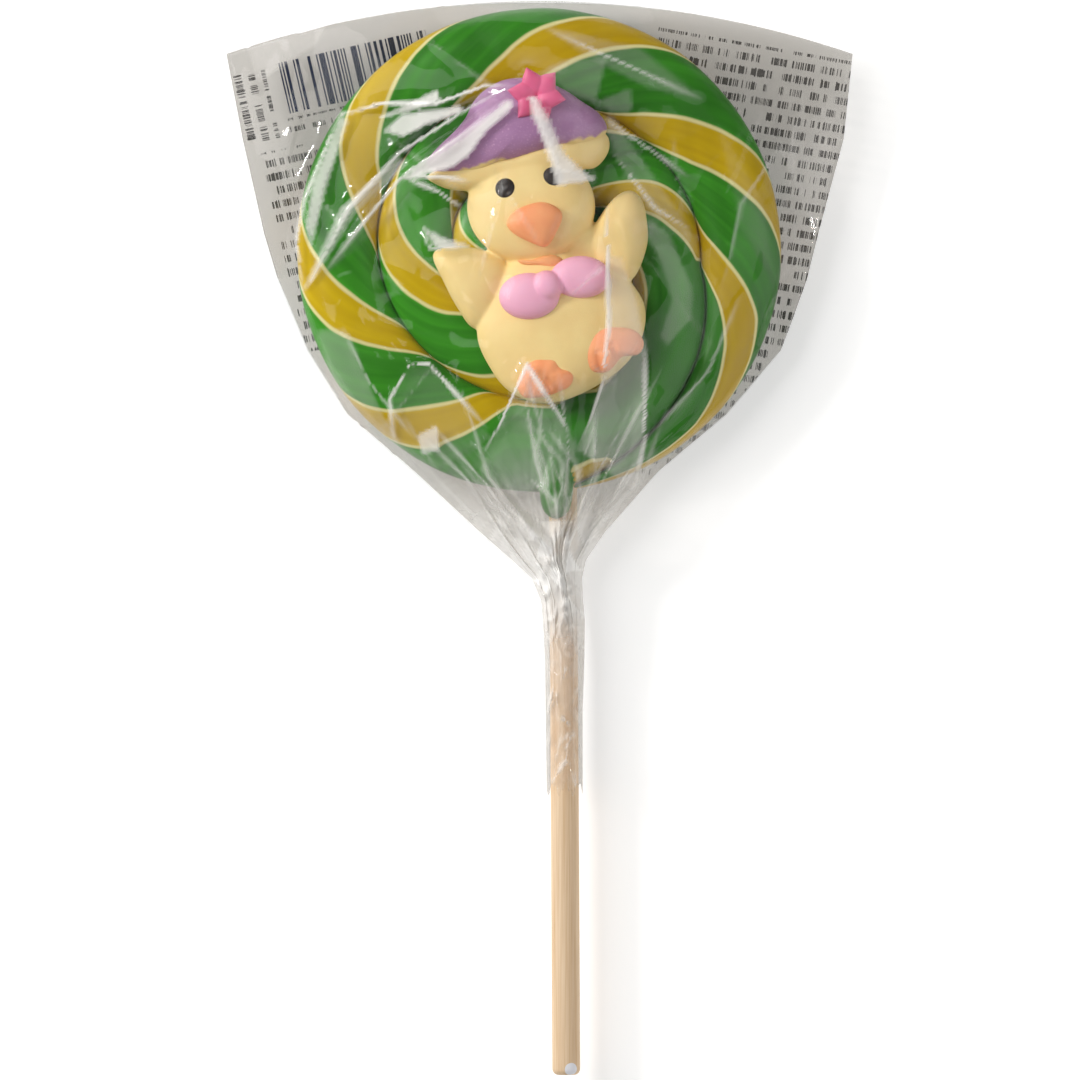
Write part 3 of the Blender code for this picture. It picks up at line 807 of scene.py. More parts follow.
@dataclass
class LollyStick:
    """The wooden dowel, its ends eased."""

    diameter: float = 5.0 * MM
    top: Vector = field(default_factory=lambda: Vector((4.2, -28.0, 6.1)) * MM)
    end: Vector = field(default_factory=lambda: Vector((4.88, -147.3, 6.1)) * MM)
    ease: float = 1.1 * MM
    ease_steps: int = 5
    sides: int = 48
    rings: int = 40
    grain: float = 0.06 * MM
    grain_size: float = 6 * MM
    edge_angle: float = math.radians(50)

    def build(self) -> Thing:
        """Builds the stick.

        Returns:
            The finished stick.
        """
        run = self.end - self.top
        stick = primitive(bpy.ops.mesh.primitive_cylinder_add, "lolly_stick", vertices=self.sides,
                          radius=self.diameter / 2, depth=run.length, location=(self.top + self.end) / 2,
                          rotation=run.to_track_quat("Z", "Y").to_euler())
        add_modifier(stick, "BEVEL", width=self.ease, segments=self.ease_steps, limit_method="ANGLE",
                     angle_limit=self.edge_angle)
        with editing(stick):
            for ring in range(1, self.rings):
                bpy.ops.mesh.select_all(action="SELECT")
                bpy.ops.mesh.bisect(plane_co=self.top + run * ring / self.rings, plane_no=run.normalized())
        grain = bpy.data.textures.new("stick_grain", "CLOUDS")
        grain.noise_scale = self.grain_size
        add_modifier(stick, "DISPLACE", texture=grain, texture_coords="LOCAL", strength=self.grain,
                     mid_level=0.5)
        dress(stick, BirchDowel().material())
        bpy.ops.object.shade_smooth_by_angle(angle=self.edge_angle)
        report(stick, ["stick"])
        return stick


@dataclass
class Moulding:
    """A moulded sugar form: a dome raised from a closed outline."""

    corners_mm: tuple
    height_mm: float
    base_mm: float = 11.4
    segments: int = 32
    power: float = 2.3
    rim_share: float = 0.26
    foot_share: float = 0.90
    centre_mm: tuple = ()
    ring_turns: tuple = (75, 62, 48, 32, 16)

    def build(self, name: str) -> Thing:
        """Raises the dome by extruding its outline ring by ring.

        Args:
            name: the object's name.

        Returns:
            The dome, closed below.
        """
        line = smooth_loop(self.corners_mm, self.segments)
        centre = np.array(self.centre_mm) * MM if self.centre_mm else line.mean(axis=0)
        pivot = Vector((*centre, self.base_mm * MM))
        made = primitive(bpy.ops.mesh.primitive_circle_add, name, vertices=self.segments,
                         radius=self.height_mm * MM, fill_type="NGON", location=pivot)
        for vertex, spot in zip(made.data.vertices, centre + (line - centre) * self.foot_share):
            vertex.co = (*spot, self.base_mm * MM)
        rim = self.height_mm * self.rim_share
        rings = [(1.0, rim)]
        for turn in self.ring_turns:
            share = math.sin(math.radians(turn))
            arch = (1 - share ** self.power) ** (1 / self.power)
            rings.append((share, rim + (self.height_mm - rim) * arch))
        share, height = self.foot_share, 0.0
        with editing(made):
            for ring, level in [*rings, (None, self.height_mm)]:
                rise = (0, 0, (level - height) * MM)
                bpy.ops.mesh.extrude_region_move(TRANSFORM_OT_translate={"value": rise})
                if ring:
                    bpy.ops.transform.resize(value=(ring / share, ring / share, 1), center_override=pivot)
                share, height = ring, level
            bpy.ops.mesh.merge(type="CENTER")
            bpy.ops.mesh.select_all(action="SELECT")
            bpy.ops.mesh.normals_make_consistent(inside=False)
        return made


class Sugar(Enum):
    """The colours of sugar on the chick, each with its finish."""

    YELLOW = PressedSugar("pressed_sugar_yellow", "#F9E29F", "#F0D28D")
    PURPLE = PressedSugar("pressed_sugar_purple", "#B489B4", "#A074A2", speck="#D8B2D0", under="#F0D795")
    ORANGE = PressedSugar("pressed_sugar_orange", "#FFB47E", "#F79A68")
    APRICOT = PressedSugar("pressed_sugar_apricot", "#F6BE84", "#EFA873")
    PINK = PressedSugar("pressed_sugar_pink", "#FBC0DA", "#F2AECD", roughness=0.5)
    ROSE = PressedSugar("pressed_sugar_rose", "#EA74A0", "#D6557F", roughness=0.45)
    BLACK = PressedSugar("pressed_sugar_black", "#2B2523", "#1E1A1A", roughness=0.6)


@dataclass
class SugarChick:
    """The chick: one moulded figure with a painted hat, and piped trim on it."""

    body_mm: tuple = (
        (-11.4, -13.4), (-8.4, -22.3), (-3.8, -26.6), (2.5, -27.7), (10.4, -24.6), (16.6, -19.6),
        (19.3, -12.9), (17.7, -7.1), (10.0, -0.4), (-4.3, -1.1),
    )
    wing_left_mm: tuple = (
        (-19.1, -1.1), (-17.0, 0.4), (-11.6, 0.4), (-5.2, -2.7), (-4.8, -9.8), (-10.9, -14.6),
        (-14.5, -10.7), (-17.3, -5.4),
    )
    wing_right_mm: tuple = (
        (16.4, 10.6), (13.8, 9.6), (11.1, 6.4), (8.0, 0.2), (10.9, -4.5), (16.3, -6.1),
        (19.3, 0.2), (19.3, 5.0), (18.4, 8.9),
    )
    brim_mm: tuple = (
        (-20.2, 13.0), (-15.5, 15.4), (-7.0, 16.2), (3.8, 20.0), (11.4, 21.1), (12.9, 17.9),
        (10.2, 14.3), (5.5, 14.3), (-3.4, 12.5), (-9.6, 10.4), (-15.5, 10.3), (-19.1, 11.6),
    )
    crown_mm: tuple = (
        (-20.5, 15.0), (-18.6, 17.7), (-15.4, 20.8), (-13.2, 23.4), (-12.0, 26.0), (-9.8, 28.4),
        (-5.8, 30.4), (-0.4, 30.4), (4.4, 28.6), (8.0, 26.2), (10.7, 24.4), (12.4, 21.8), (11.6, 19.8),
        (8.6, 18.4), (5.0, 18.0), (1.2, 16.8), (-3.9, 15.4), (-8.1, 14.3), (-12.2, 12.6), (-17.8, 13.2),
    )
    beak_mm: tuple = (
        (-5.7, 4.9), (-3.9, 7.0), (0.2, 8.3), (3.1, 7.4), (4.2, 5.8), (3.4, 3.3), (1.4, 0.2),
        (-1.3, 0.9), (-4.0, 2.2), (-5.5, 3.5),
    )
    smear_mm: tuple = (
        (-3.9, -2.0), (-1.5, -2.0), (0.6, -1.3), (2.6, -1.1), (4.2, -1.8), (4.3, -2.8), (3.2, -3.7),
        (1.5, -3.4), (-0.8, -3.0), (-3.0, -2.8),
    )
    foot_left_mm: tuple = (
        (-3.9, -23.5), (-2.8, -21.3), (-1.2, -19.4), (1.0, -19.0), (3.3, -19.0), (4.2, -21.0),
        (5.8, -21.7), (6.3, -22.9), (5.5, -24.6), (3.8, -25.4), (1.8, -26.2), (-0.6, -26.6),
        (-2.6, -26.6), (-3.8, -25.2),
    )
    foot_right_mm: tuple = (
        (7.9, -17.6), (8.9, -15.3), (10.3, -14.0), (12.3, -13.6), (14.6, -13.9), (17.4, -14.6),
        (18.8, -16.7), (18.0, -18.7), (16.4, -19.1), (14.7, -19.3), (13.4, -21.0), (11.9, -22.1),
        (9.4, -21.9), (8.1, -19.8),
    )
    toes_mm: tuple = (
        (((-1.4, -26.8), (-1.0, -23.4)), ((1.9, -26.4), (1.4, -23.4))),
        (((10.9, -22.3), (10.4, -18.6)), ((14.2, -20.0), (13.0, -17.2))),
    )
    toe_groove: float = 0.7 * MM
    toe_groove_half: float = 0.55 * MM
    flower_mm: tuple = (-0.4, 27.2)
    petals: int = 6

    def lie_on(self, host: Thing, spot_mm: tuple[float, float], sink_mm: float) -> float:
        """Height in millimetres, under a host's top, at which a piece's back lies.

        Args:
            host: the piece below.
            spot_mm: the place, in millimetres.
            sink_mm: how far the piece's back is under the host's surface.

        Returns:
            The height.
        """
        tree = BVHTree.FromObject(host, bpy.context.evaluated_depsgraph_get())
        hit = tree.ray_cast(Vector((spot_mm[0] * MM, spot_mm[1] * MM, 0.1)), Vector((0, 0, -1)))[0]
        return hit.z / MM - sink_mm

    def build(self) -> list[Thing]:
        """Builds the figure and its trim.

        Returns:
            The finished pieces.
        """
        moulded = ["chick_body", "chick_head", "wing_left", "wing_right", "hat_brim"]
        figure = self.piece("chick_figure", moulded, Sugar.YELLOW, [
            Moulding(self.body_mm, 7.6, segments=48),
            Moulding(oval((-1.4, 7.5), (11.7, 10.4)), 7.9, segments=48),
            Moulding(self.wing_left_mm, 5.6),
            Moulding(self.wing_right_mm, 6.4),
            Moulding(self.brim_mm, 6.6, centre_mm=(-2.5, 15.6), segments=48),
            Moulding(oval((8.4, 0.4), (4.6, 4.6)), 4.9),
        ], (0.3, 7))
        hat = self.piece("chick_hat", ["hat_crown"], Sugar.PURPLE, [
            Moulding(self.crown_mm, 8.3, segments=60, centre_mm=(-3.2, 20.6)),
        ])
        trim = [self.flower(hat)]
        domes = (
            ("beak", self.beak_mm, 3.3, 1.0, (0.2, 4.6), Sugar.ORANGE),
            ("eye_left", oval((-5.9, 10.6), (1.9, 1.9)), 1.7, 1.0, (-5.9, 10.6), Sugar.BLACK),
            ("eye_right", oval((2.4, 12.6), (1.9, 1.9)), 1.7, 1.0, (2.4, 12.6), Sugar.BLACK),
            ("foot_left", self.foot_left_mm, 3.0, 1.6, (0.8, -23.0), Sugar.ORANGE),
            ("foot_right", self.foot_right_mm, 3.0, 1.6, (12.5, -17.6), Sugar.ORANGE),
        )
        for name, corners, height, sink, spot, sugar in domes:
            dome = Moulding(corners, height, self.lie_on(figure, spot, sink), 36, centre_mm=spot)
            trim.append(self.piece(f"chick_{name}", [name], sugar, [dome]))
        for foot, grooves_mm in zip(trim[-2:], self.toes_mm):
            self.part_toes(foot, grooves_mm)
        smear = Moulding(self.smear_mm, 1.5, self.lie_on(figure, (1.0, -2.4), 0.9), centre_mm=(1.2, -2.4))
        smear = smear.build("chin_smear")
        refine(smear)
        dress(smear, Sugar.APRICOT.value.material())
        join([trim[1], smear], "chick_beak")
        base = self.lie_on(figure, (2.5, -8.0), 1.9)
        bow = self.piece("chick_bow", ["bow_left", "bow_right", "bow_knot"], Sugar.PINK, [
            Moulding(oval((-1.7, -8.5), (5.6, 4.3)), 4.2, base, power=2.4),
            Moulding(oval((7.4, -5.1), (5.5, 3.9)), 3.9, base, power=2.6),
            Moulding(oval((1.4, -6.7), (2.9, 2.9)), 4.8, base, power=2.6),
        ], (0.2, 8))
        return [figure, hat, *trim, bow]

    def piece(self, name: str, nodes: list[str], sugar: Sugar, forms: list[Moulding],
              melting: tuple = ()) -> Thing:
        """Builds one piece from its domes.

        Args:
            name: the piece's name.
            nodes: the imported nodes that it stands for.
            sugar: its colour.
            forms: its domes.
            melting: for domes that run together, the size of detail kept in millimetres and how often the
                result is smoothed.

        Returns:
            The finished piece.
        """
        domes = [form.build(name) for form in forms]
        for dome in domes:
            refine(dome, 1 if melting else 2)
        made = join(domes, name)
        if melting:
            melt(made, *melting)
        dress(made, sugar.value.material())
        report(made, nodes)
        return made

    def part_toes(self, foot: Thing, grooves_mm: tuple) -> None:
        """Presses grooves between a foot's toes, deepest at the tips.

        Args:
            foot: the foot.
            grooves_mm: both ends of each groove, in millimetres, the toes' tips first.
        """
        for vertex in foot.data.vertices:
            for start, end in grooves_mm:
                a, b = Vector((*start, 0)) * MM, Vector((*end, 0)) * MM
                flat = Vector((vertex.co.x, vertex.co.y, 0))
                share = min(1.0, max(0.0, (flat - a).dot(b - a) / (b - a).length_squared))
                off = (flat - a.lerp(b, share)).length / self.toe_groove_half
                vertex.co.z -= self.toe_groove * math.exp(-off * off) * (1 - 0.5 * share)

    def flower(self, host: Thing) -> Thing:
        """Builds the piped blossom on the hat: petals swept round a small hollow.

        Args:
            host: the hat.

        Returns:
            The finished flower.
        """
        spot = Vector((*self.flower_mm, self.lie_on(host, self.flower_mm, 0.6))) * MM
        petals = []
        for k in range(self.petals):
            petal = primitive(bpy.ops.mesh.primitive_uv_sphere_add, "petal", segments=20, ring_count=12,
                              radius=MM)
            for vertex in petal.data.vertices:
                share = (vertex.co.x / MM + 1) / 2
                wide = 1.9 * math.sin(math.pi * min(1.0, 0.25 + 0.75 * share)) + 0.25
                vertex.co = ((0.1 + 5.1 * share) * MM, vertex.co.y * wide + 1.2 * MM * share * share,
                             vertex.co.z * (1.3 - 0.5 * share) + (1.3 + 0.7 * share) * MM)
            turn = math.radians(98 + 360 * k / self.petals)
            petal.data.transform(Matrix.Translation(spot) @ Matrix.Rotation(turn, 4, "Z"))
            petals.append(petal)
        flower = join(petals, "hat_flower")
        melt(flower, 0.14, 3)
        dress(flower, Sugar.ROSE.value.material())
        report(flower, ["flower"])
        return flower


def beside_line(line_mm: tuple, x: Points, y: Points) -> list[Points]:
    """Finds where each point lies beside a bent line.

    Args:
        line_mm: the line's corners, in millimetres.
        x: the points' X.
        y: the points' Y.

    Returns:
        The way to each point from the nearest spot of the line, in X and in Y; whether the point lies to
        the left; and the share of the line's length at that spot.
    """
    knots = np.array(line_mm) * MM
    steps = np.linalg.norm(np.diff(knots, axis=0), axis=1)
    begins = np.concatenate([[0], np.cumsum(steps)])
    nearest = np.full(x.shape, np.inf)
    best = [np.zeros(x.shape) for _ in range(4)]
    for k, length in enumerate(steps):
        way = (knots[k + 1] - knots[k]) / length
        reach = np.clip((x - knots[k][0]) * way[0] + (y - knots[k][1]) * way[1], 0, length)
        off_x = x - knots[k][0] - reach * way[0]
        off_y = y - knots[k][1] - reach * way[1]
        off = np.hypot(off_x, off_y)
        closer = off < nearest
        nearest = np.where(closer, off, nearest)
        found = (off_x, off_y, way[0] * off_y > way[1] * off_x, (begins[k] + reach) / begins[-1])
        best = [np.where(closer, new, old) for new, old in zip(found, best)]
    return best


@dataclass(frozen=True)
class Crease:
    """A fold in the film: a ridge along a line, falling off on either side, with a painted highlight line
    along it.

    The left side is on the left hand of someone who walks from the line's first point to its last.
    """

    line_mm: tuple
    height_mm: float
    left_mm: float
    right_mm: float
    # How bright and how wide the painted highlight line along the fold is.
    white: float = 0.0
    painted_highlight_half_mm: float = 0.38

    def shape(self, x: Points, y: Points) -> tuple[Points, Points]:
        """Works out the fold at each point.

        Args:
            x: the points' X.
            y: the points' Y.

        Returns:
            The height that it adds, and its painted highlight, from 0 to 1.
        """
        off_x, off_y, left, share = beside_line(self.line_mm, x, y)
        nearest = np.hypot(off_x, off_y)
        taper = np.clip(4 * share, 0, 1) * np.clip(4 * (1 - share), 0, 1)
        wide = np.where(left, self.left_mm, self.right_mm) * MM
        rise = self.height_mm * MM * taper * np.clip(1 - nearest / wide, 0, 1)
        # The painted highlight line swells and thins along the fold's length.
        swell = self.painted_highlight_half_mm * MM * (0.75 + 0.55 * np.sin(9 * share + 40 * self.height_mm))
        return rise, self.white * taper * np.clip(1.25 - nearest / swell, 0, 1)


@dataclass(frozen=True)
class PaintedSheen:
    """A flat facet of the film, painted milky: a painted reflection of a pale panel, and a painted highlight
    where it is brightest.
    """

    corners_mm: tuple
    strength: float
    soft_edge: float = 0.5 * MM

    def cover(self, x: Points, y: Points) -> Points:
        """Strength at each point: full inside the facet and nothing outside it.

        Args:
            x: the points' X.
            y: the points' Y.

        Returns:
            The strength.
        """
        inside = np.zeros(x.shape, bool)
        knots = np.array(self.corners_mm) * MM
        for a, b in zip(knots, np.roll(knots, -1, axis=0)):
            if a[1] == b[1]:
                continue
            crossing = (b[0] - a[0]) * (y - a[1]) / (b[1] - a[1]) + a[0]
            inside ^= ((a[1] > y) != (b[1] > y)) & (x < crossing)
        off_x, off_y = beside_line((*self.corners_mm, self.corners_mm[0]), x, y)[:2]
        depth = np.where(inside, 1, -1) * np.hypot(off_x, off_y)
        return self.strength * np.clip(0.5 + depth / self.soft_edge, 0, 1)


class Sheet(Enum):
    """The two sheets of the bag."""

    FRONT = "bag_front"
    BACK = "bag_back"


@dataclass
class FilmBag:
    """The bag: two sheets sealed along the top and sides, gathered round the stick and open below."""

    mid_z: float = 6.1 * MM
    top_y: float = 44.4 * MM
    top_bow: float = 9.4 * MM
    bow_from_y: float = 5.0 * MM
    bow_power: float = 1.4
    mouth_y: float = -96.2 * MM
    clear: float = 0.25 * MM
    wall: float = 0.05 * MM
    rows: int = 284
    columns: int = 172
    snap: float = 0.24 * MM
    ragged: float = 6 * MM
    # Strengths of the painted highlight lines along drawn and chance creases.
    drawn_painted_highlight: float = 4.0
    chance_painted_highlight: float = 1.5
    chance_counts: tuple = (46, 60, 90)
    neck_mm: tuple = (4.5, -56)
    tongue_end: tuple = (3.1 * MM, -48.6 * MM)
    tongue_half: float = 3.2 * MM
    # How much of the front sheet's painted sheen the back sheet gets.
    back_painted_sheen: float = 0.3
    pleats: int = 24
    pleats_mm: tuple = ((-97, 0.3), (-60, 0.35), (-54, 0.8), (-42, 0.6), (-25, 0.0))
    gather_mm: tuple = (
        (-97, 0.3), (-88, 0.6), (-78, 0.9), (-70, 2.4), (-60, 6.5), (-52, 5.5), (-46, 1.6), (-40, 0.4),
        (-34, 0.0),
    )
    dents: tuple = ((9 * MM, 0.60 * MM, 0.03, 3), (3.4 * MM, 0.18 * MM, 0.0, 5))
    relaxing: tuple = ((8, 500), (4, 400), (2, 250), (1, 120))
    outline_mm: tuple = (
        (35.0, -55.8, 56.0), (19.8, -52.9, 54.4), (3.0, -49.1, 49.9), (-5.4, -46.6, 47.8),
        (-17.9, -41.4, 43.3), (-29.3, -34.3, 33.6), (-39.5, -22.3, 21.4), (-50.4, -10.5, 11.8),
        (-55.4, -4.8, 8.4), (-58.6, -1.3, 7.7), (-62.7, 0.4, 7.9), (-66.1, 0.7, 8.2),
        (-73.6, 1.1, 8.1), (-82.2, 1.2, 7.8), (-96.2, 1.4, 7.8),
    )
    creases: tuple = (
        Crease(((-42, -8.2), (-43.2, 1.8), (-41.8, 8.9), (-35.5, 24.0), (-27.8, 26.0)), 1.2, 2.4, 3.4, 0.6),
        Crease(((-35.5, 23.6), (-27.9, 25.9), (-18.2, 25.8), (-9.5, 28.9), (-5.0, 28.8)), 1.2, 2.4, 1.6, 1.0),
        Crease(((-42, -8.2), (-33.8, 7.1), (-24.8, 17.0), (-12.3, 25.0), (-5.0, 28.8)), 1.2, 2.2, 1.6, 0.7),
        Crease(((-38.6, -4.7), (-30.5, 5.5), (-24.4, 12.8), (-14.5, 19.5), (-5.7, 26.2)), 1.1, 1.6, 2.0, 0.7),
        Crease(((-24.4, 12.8), (-17.4, 12.8), (-12.3, 11.8)), 0.8, 1.2, 1.4, 0.8),
        Crease(((-24.4, 12.8), (-18.2, 10.2), (-13.4, 7.1)), 0.9, 1.4, 1.2, 0.6),
        Crease(((-1.6, 27.2), (1.2, 20.2), (3.7, 14.1), (9.8, 12.0)), 0.6, 2.4, 2.0, 0.2),
        Crease(((-20.6, 3.7), (-19.5, 0.0), (-12.7, 0.3)), 0.8, 1.0, 1.2, 0.4),
        Crease(((12.0, 8.9), (12.4, -14.3), (11.1, -25.0), (7.0, -35.7)), 1.2, 2.4, 2.0, 0.9),
        Crease(((18.9, -17.0), (18.8, -33.9), (17.0, -43.1)), 1.1, 1.4, 2.5, 1.0),
        Crease(((1.1, 39.3), (15.0, 33.0), (28.8, 26.8)), 0.8, 2.4, 1.4, 0.4),
        Crease(((10.9, 23.6), (20.0, 17.5), (27.0, 12.5)), 0.8, 1.6, 2.4, 0.4),
        Crease(((12.7, 17.5), (20.7, 7.1), (27.3, 3.2)), 0.7, 1.8, 1.2, 0.4),
        Crease(((-25.7, -35.7), (-26.6, -26.8), (-23.0, -20.7), (-19.5, -20.5), (-9.1, -32.1)),
               0.8, 1.5, 1.5, 0.9),
        Crease(((-10.5, -37.5), (-7.0, -31.3), (-2.1, -20.7), (1.1, -25.9), (6.8, -34.8)),
               1.0, 1.5, 1.6, 1.0),
        Crease(((-35.0, -14.0), (-30.0, -24.0), (-22.0, -34.0)), 0.8, 2.4, 1.6, 0.3),
        Crease(((36.0, -8.0), (30.0, -22.0), (19.0, -34.0)), 0.8, 1.6, 2.4, 0.3),
        Crease(((44.0, 20.0), (36.0, 8.0), (33.0, -6.0)), 0.7, 1.6, 3.0, 0.2),
    )
    # Facets of painted reflection: milky patches, and bright wedges of painted highlight.
    painted_sheen_facets: tuple = (
        PaintedSheen(((12.1, -1.2), (12.5, -17.1), (11.1, -25.0), (7.1, -35.7), (17.0, -43.0), (18.8, -36.3),
              (18.9, -17.1), (17.0, -8.6), (14.5, -1.8)), 1.0),
        PaintedSheen(((19.5, 5.0), (23.0, 2.7), (27.3, -7.1), (27.0, -12.5), (23.0, -17.0), (21.6, -15.7),
              (23.8, -8.9), (21.6, -2.1), (19.5, 1.8)), 0.45),
        PaintedSheen(((-41.5, 4.0), (-40.2, 11.6), (-35.2, 24.3), (-34.3, 22.6), (-38.1, 10.8), (-40.6, 0.6)), 2.6),
        PaintedSheen(((-28.0, 23.5), (-18.2, 28.1), (-17.8, 26.4), (-22.5, 24.7)), 3.4),
        PaintedSheen(((-27.5, 20.9), (-24.1, 23.9), (-14.0, 25.2), (-13.6, 24.3), (-19.9, 22.2), (-24.1, 20.1)), 3.0),
        PaintedSheen(((-42.0, -7.0), (-41.1, -5.3), (-35.2, 7.4), (-25.0, 15.9), (-23.3, 15.5), (-32.6, 6.6),
              (-40.6, -6.1)), 1.6),
        PaintedSheen(((-24.5, 12.3), (-19.2, 15.9), (-13.5, 19.6), (-5.4, 26.2), (-4.6, 25.2), (-9.6, 20.7),
              (-12.7, 16.4), (-15.5, 14.5), (-21.4, 13.1)), 4.4),
        PaintedSheen(((-20.6, 3.7), (-16.9, 1.8), (-12.4, 0.4), (-18.3, 0.1)), 2.4),
        PaintedSheen(((-21.6, -33.2), (-18.2, -31.5), (-17.8, -35.7), (-20.8, -36.6)), 2.2),
        PaintedSheen(((-1.7, 26.9), (-0.6, 26.7), (1.9, 22.3), (3.9, 17.4), (6.8, 14.3), (9.9, 12.2), (3.2, 11.2),
              (2.2, 15.3), (-0.1, 21.5), (-1.1, 23.6)), 3.8),
        PaintedSheen(((-0.4, 30.8), (4.8, 33.7), (11.8, 33.7), (11.5, 31.9), (9.9, 25.9), (4.8, 27.7),
              (2.7, 30.3)), 0.5),
        PaintedSheen(((10.2, 25.9), (16.1, 28.5), (16.7, 25.4), (15.9, 24.1), (12.5, 24.4)), 0.4),
        PaintedSheen(((12.5, 24.1), (16.6, 18.4), (20.8, 12.2), (27.0, 2.9), (27.0, 0.3), (20.8, 6.0), (16.6, 11.7),
              (13.6, 16.8), (12.0, 21.0)), 0.4),
        PaintedSheen(((-27.0, -32.1), (-25.7, -25.0), (-22.7, -20.7), (-19.1, -21.1), (-15.0, -26.8), (-8.8, -33.2),
              (-17.7, -39.3), (-24.8, -37.5)), 0.2),
        PaintedSheen(((-10.5, -39.3), (-7.0, -31.3), (-2.1, -20.7), (2.0, -26.8), (6.8, -35.2), (3.8, -41.1),
              (-7.0, -44.6)), 0.5),
        PaintedSheen(((1.1, 39.6), (18.0, 35.7), (28.8, 26.8), (19.8, 28.6), (9.1, 33.9)), 0.35),
        PaintedSheen(((-39.5, -14.3), (-34.6, -14.3), (-27.5, -30.4), (-21.3, -39.3), (-30.2, -33.9),
              (-36.4, -25.0)), 0.5),
        PaintedSheen(((-38.0, -4.5), (-24.4, 12.0), (-16.0, 18.0), (-26.0, 6.0)), 0.15),
        PaintedSheen(((12.0, 8.9), (16.0, 15.0), (22.5, 6.0), (18.0, 0.0)), 0.15),
        PaintedSheen(((32.0, 22.0), (40.0, 8.0), (42.0, -6.0), (36.0, 4.0)), 0.15),
        PaintedSheen(((-52.0, 36.0), (-38.0, 40.0), (-40.0, 36.5), (-50.0, 30.0)), 0.8),
    )

    def plan(self) -> Points:
        """Lays out the sheets: rows from the top edge to the mouth, and columns from left to right.

        Returns:
            X and Y of every point.
        """
        heights, lefts, rights = np.array(self.outline_mm).T * MM
        mids = np.linspace(self.top_y, self.mouth_y, self.rows + 1)
        share = np.clip((mids - self.bow_from_y) / (self.top_y - self.bow_from_y), 0, 1)
        bow = self.top_bow * share ** self.bow_power
        left = np.interp(bow - mids, -heights, lefts)
        right = np.interp(bow - mids, -heights, rights)
        u = np.linspace(-1, 1, self.columns + 1)
        x = ((left + right) / 2)[:, None] + ((right - left) / 2)[:, None] * u
        y = mids[:, None] - bow[:, None] * u * u
        # The mouth is cut a little unevenly.
        ragged = np.clip((self.mouth_y + self.ragged - mids) / self.ragged, 0, 1)[:, None]
        y = y + ragged * MM * (0.9 * np.sin(9 * u + 1) + 0.5 * np.sin(23 * u))
        return np.stack([x, y], axis=2)

    def onto_lines(self, plan: Points) -> Points:
        """Moves points close to a drawn crease or a facet's edge onto it, which keeps the line clean.

        Args:
            plan: the plan.

        Returns:
            The plan with those points moved.
        """
        x, y = plan[..., 0], plan[..., 1]
        near = np.minimum(self.snap, 0.45 * (x[:, -1:] - x[:, :1]) / self.columns)
        lines = [crease.line_mm for crease in self.creases]
        for line in lines + [(*facet.corners_mm, facet.corners_mm[0]) for facet in self.painted_sheen_facets]:
            off_x, off_y = beside_line(line, x, y)[:2]
            caught = np.hypot(off_x, off_y) < near
            x, y = x - caught * off_x, y - caught * off_y
        return np.stack([x, y], axis=2)

    def carried(self, z: Points, plan: Points, moved: Points) -> Points:
        """Reads a sheet's heights where its points have been moved to.

        Args:
            z: the heights on the plan.
            plan: the plan.
            moved: the plan with some points moved.

        Returns:
            The heights at the moved points.
        """
        shift = moved - plan
        slope_x = np.gradient(z, axis=1) / np.gradient(plan[..., 0], axis=1)
        slope_y = np.gradient(z, axis=0) / np.gradient(plan[..., 1], axis=0)
        return z + slope_x * shift[..., 0] + slope_y * shift[..., 1]

    def reach(self, plan: Points, contents: list[Thing], down: bool) -> Points:
        """Finds the height of the contents at every point of the plan, from above or from below.

        Args:
            plan: the plan.
            contents: what is in the bag.
            down: True to look down from above.

        Returns:
            The heights, or the bag's middle height where nothing is met.
        """
        graph = bpy.context.evaluated_depsgraph_get()
        trees = [BVHTree.FromObject(thing, graph) for thing in contents]
        way = Vector((0, 0, -1 if down else 1))
        best = np.full(plan.shape[:2], self.mid_z)
        for i in range(plan.shape[0]):
            for j in range(plan.shape[1]):
                start = Vector((plan[i, j, 0], plan[i, j, 1], 0.1 if down else -0.1))
                for tree in trees:
                    hit = tree.ray_cast(start, way)[0]
                    if hit:
                        best[i, j] = max(best[i, j], hit.z) if down else min(best[i, j], hit.z)
        return best

    def widen(self, limit: Points) -> Points:
        """Carries each point's limit to its neighbours, so that no edge cuts a corner.

        Args:
            limit: the lowest height allowed at each point.

        Returns:
            The highest of each point's own limit and those round it.
        """
        padded = np.pad(limit, 1, mode="edge")
        sides = [padded[1 + a:padded.shape[0] - 1 + a, 1 + b:padded.shape[1] - 1 + b]
                 for a in (-1, 0, 1) for b in (-1, 0, 1)]
        return np.maximum.reduce(sides)

    def taut(self, limit: Points) -> Points:
        """Pulls a sheet tight over the limits from its sealed edges, coarse first and then fine.

        Args:
            limit: the lowest height allowed at each point.

        Returns:
            The sheet's heights.
        """
        z = None
        for stride, rounds in self.relaxing:
            rows = np.unique(np.append(np.arange(0, limit.shape[0], stride), limit.shape[0] - 1))
            columns = np.unique(np.append(np.arange(0, limit.shape[1], stride), limit.shape[1] - 1))
            floor = limit[np.ix_(rows, columns)]
            z = floor.copy() if z is None else np.maximum(floor, self.stretch_grid(z, old, (rows, columns)))
            for _ in range(rounds):
                # The seams stay down, and every other point goes to the mean of its neighbours.
                z[0, :] = z[:, 0] = z[:, -1] = self.mid_z
                mean = (z[:-2, 1:-1] + z[2:, 1:-1] + z[1:-1, :-2] + z[1:-1, 2:]) / 4
                z[1:-1, 1:-1] = np.maximum(floor[1:-1, 1:-1], mean)
                z[-1, 1:-1] = np.maximum(floor[-1, 1:-1], z[-2, 1:-1])
            old = (rows, columns)
        return z

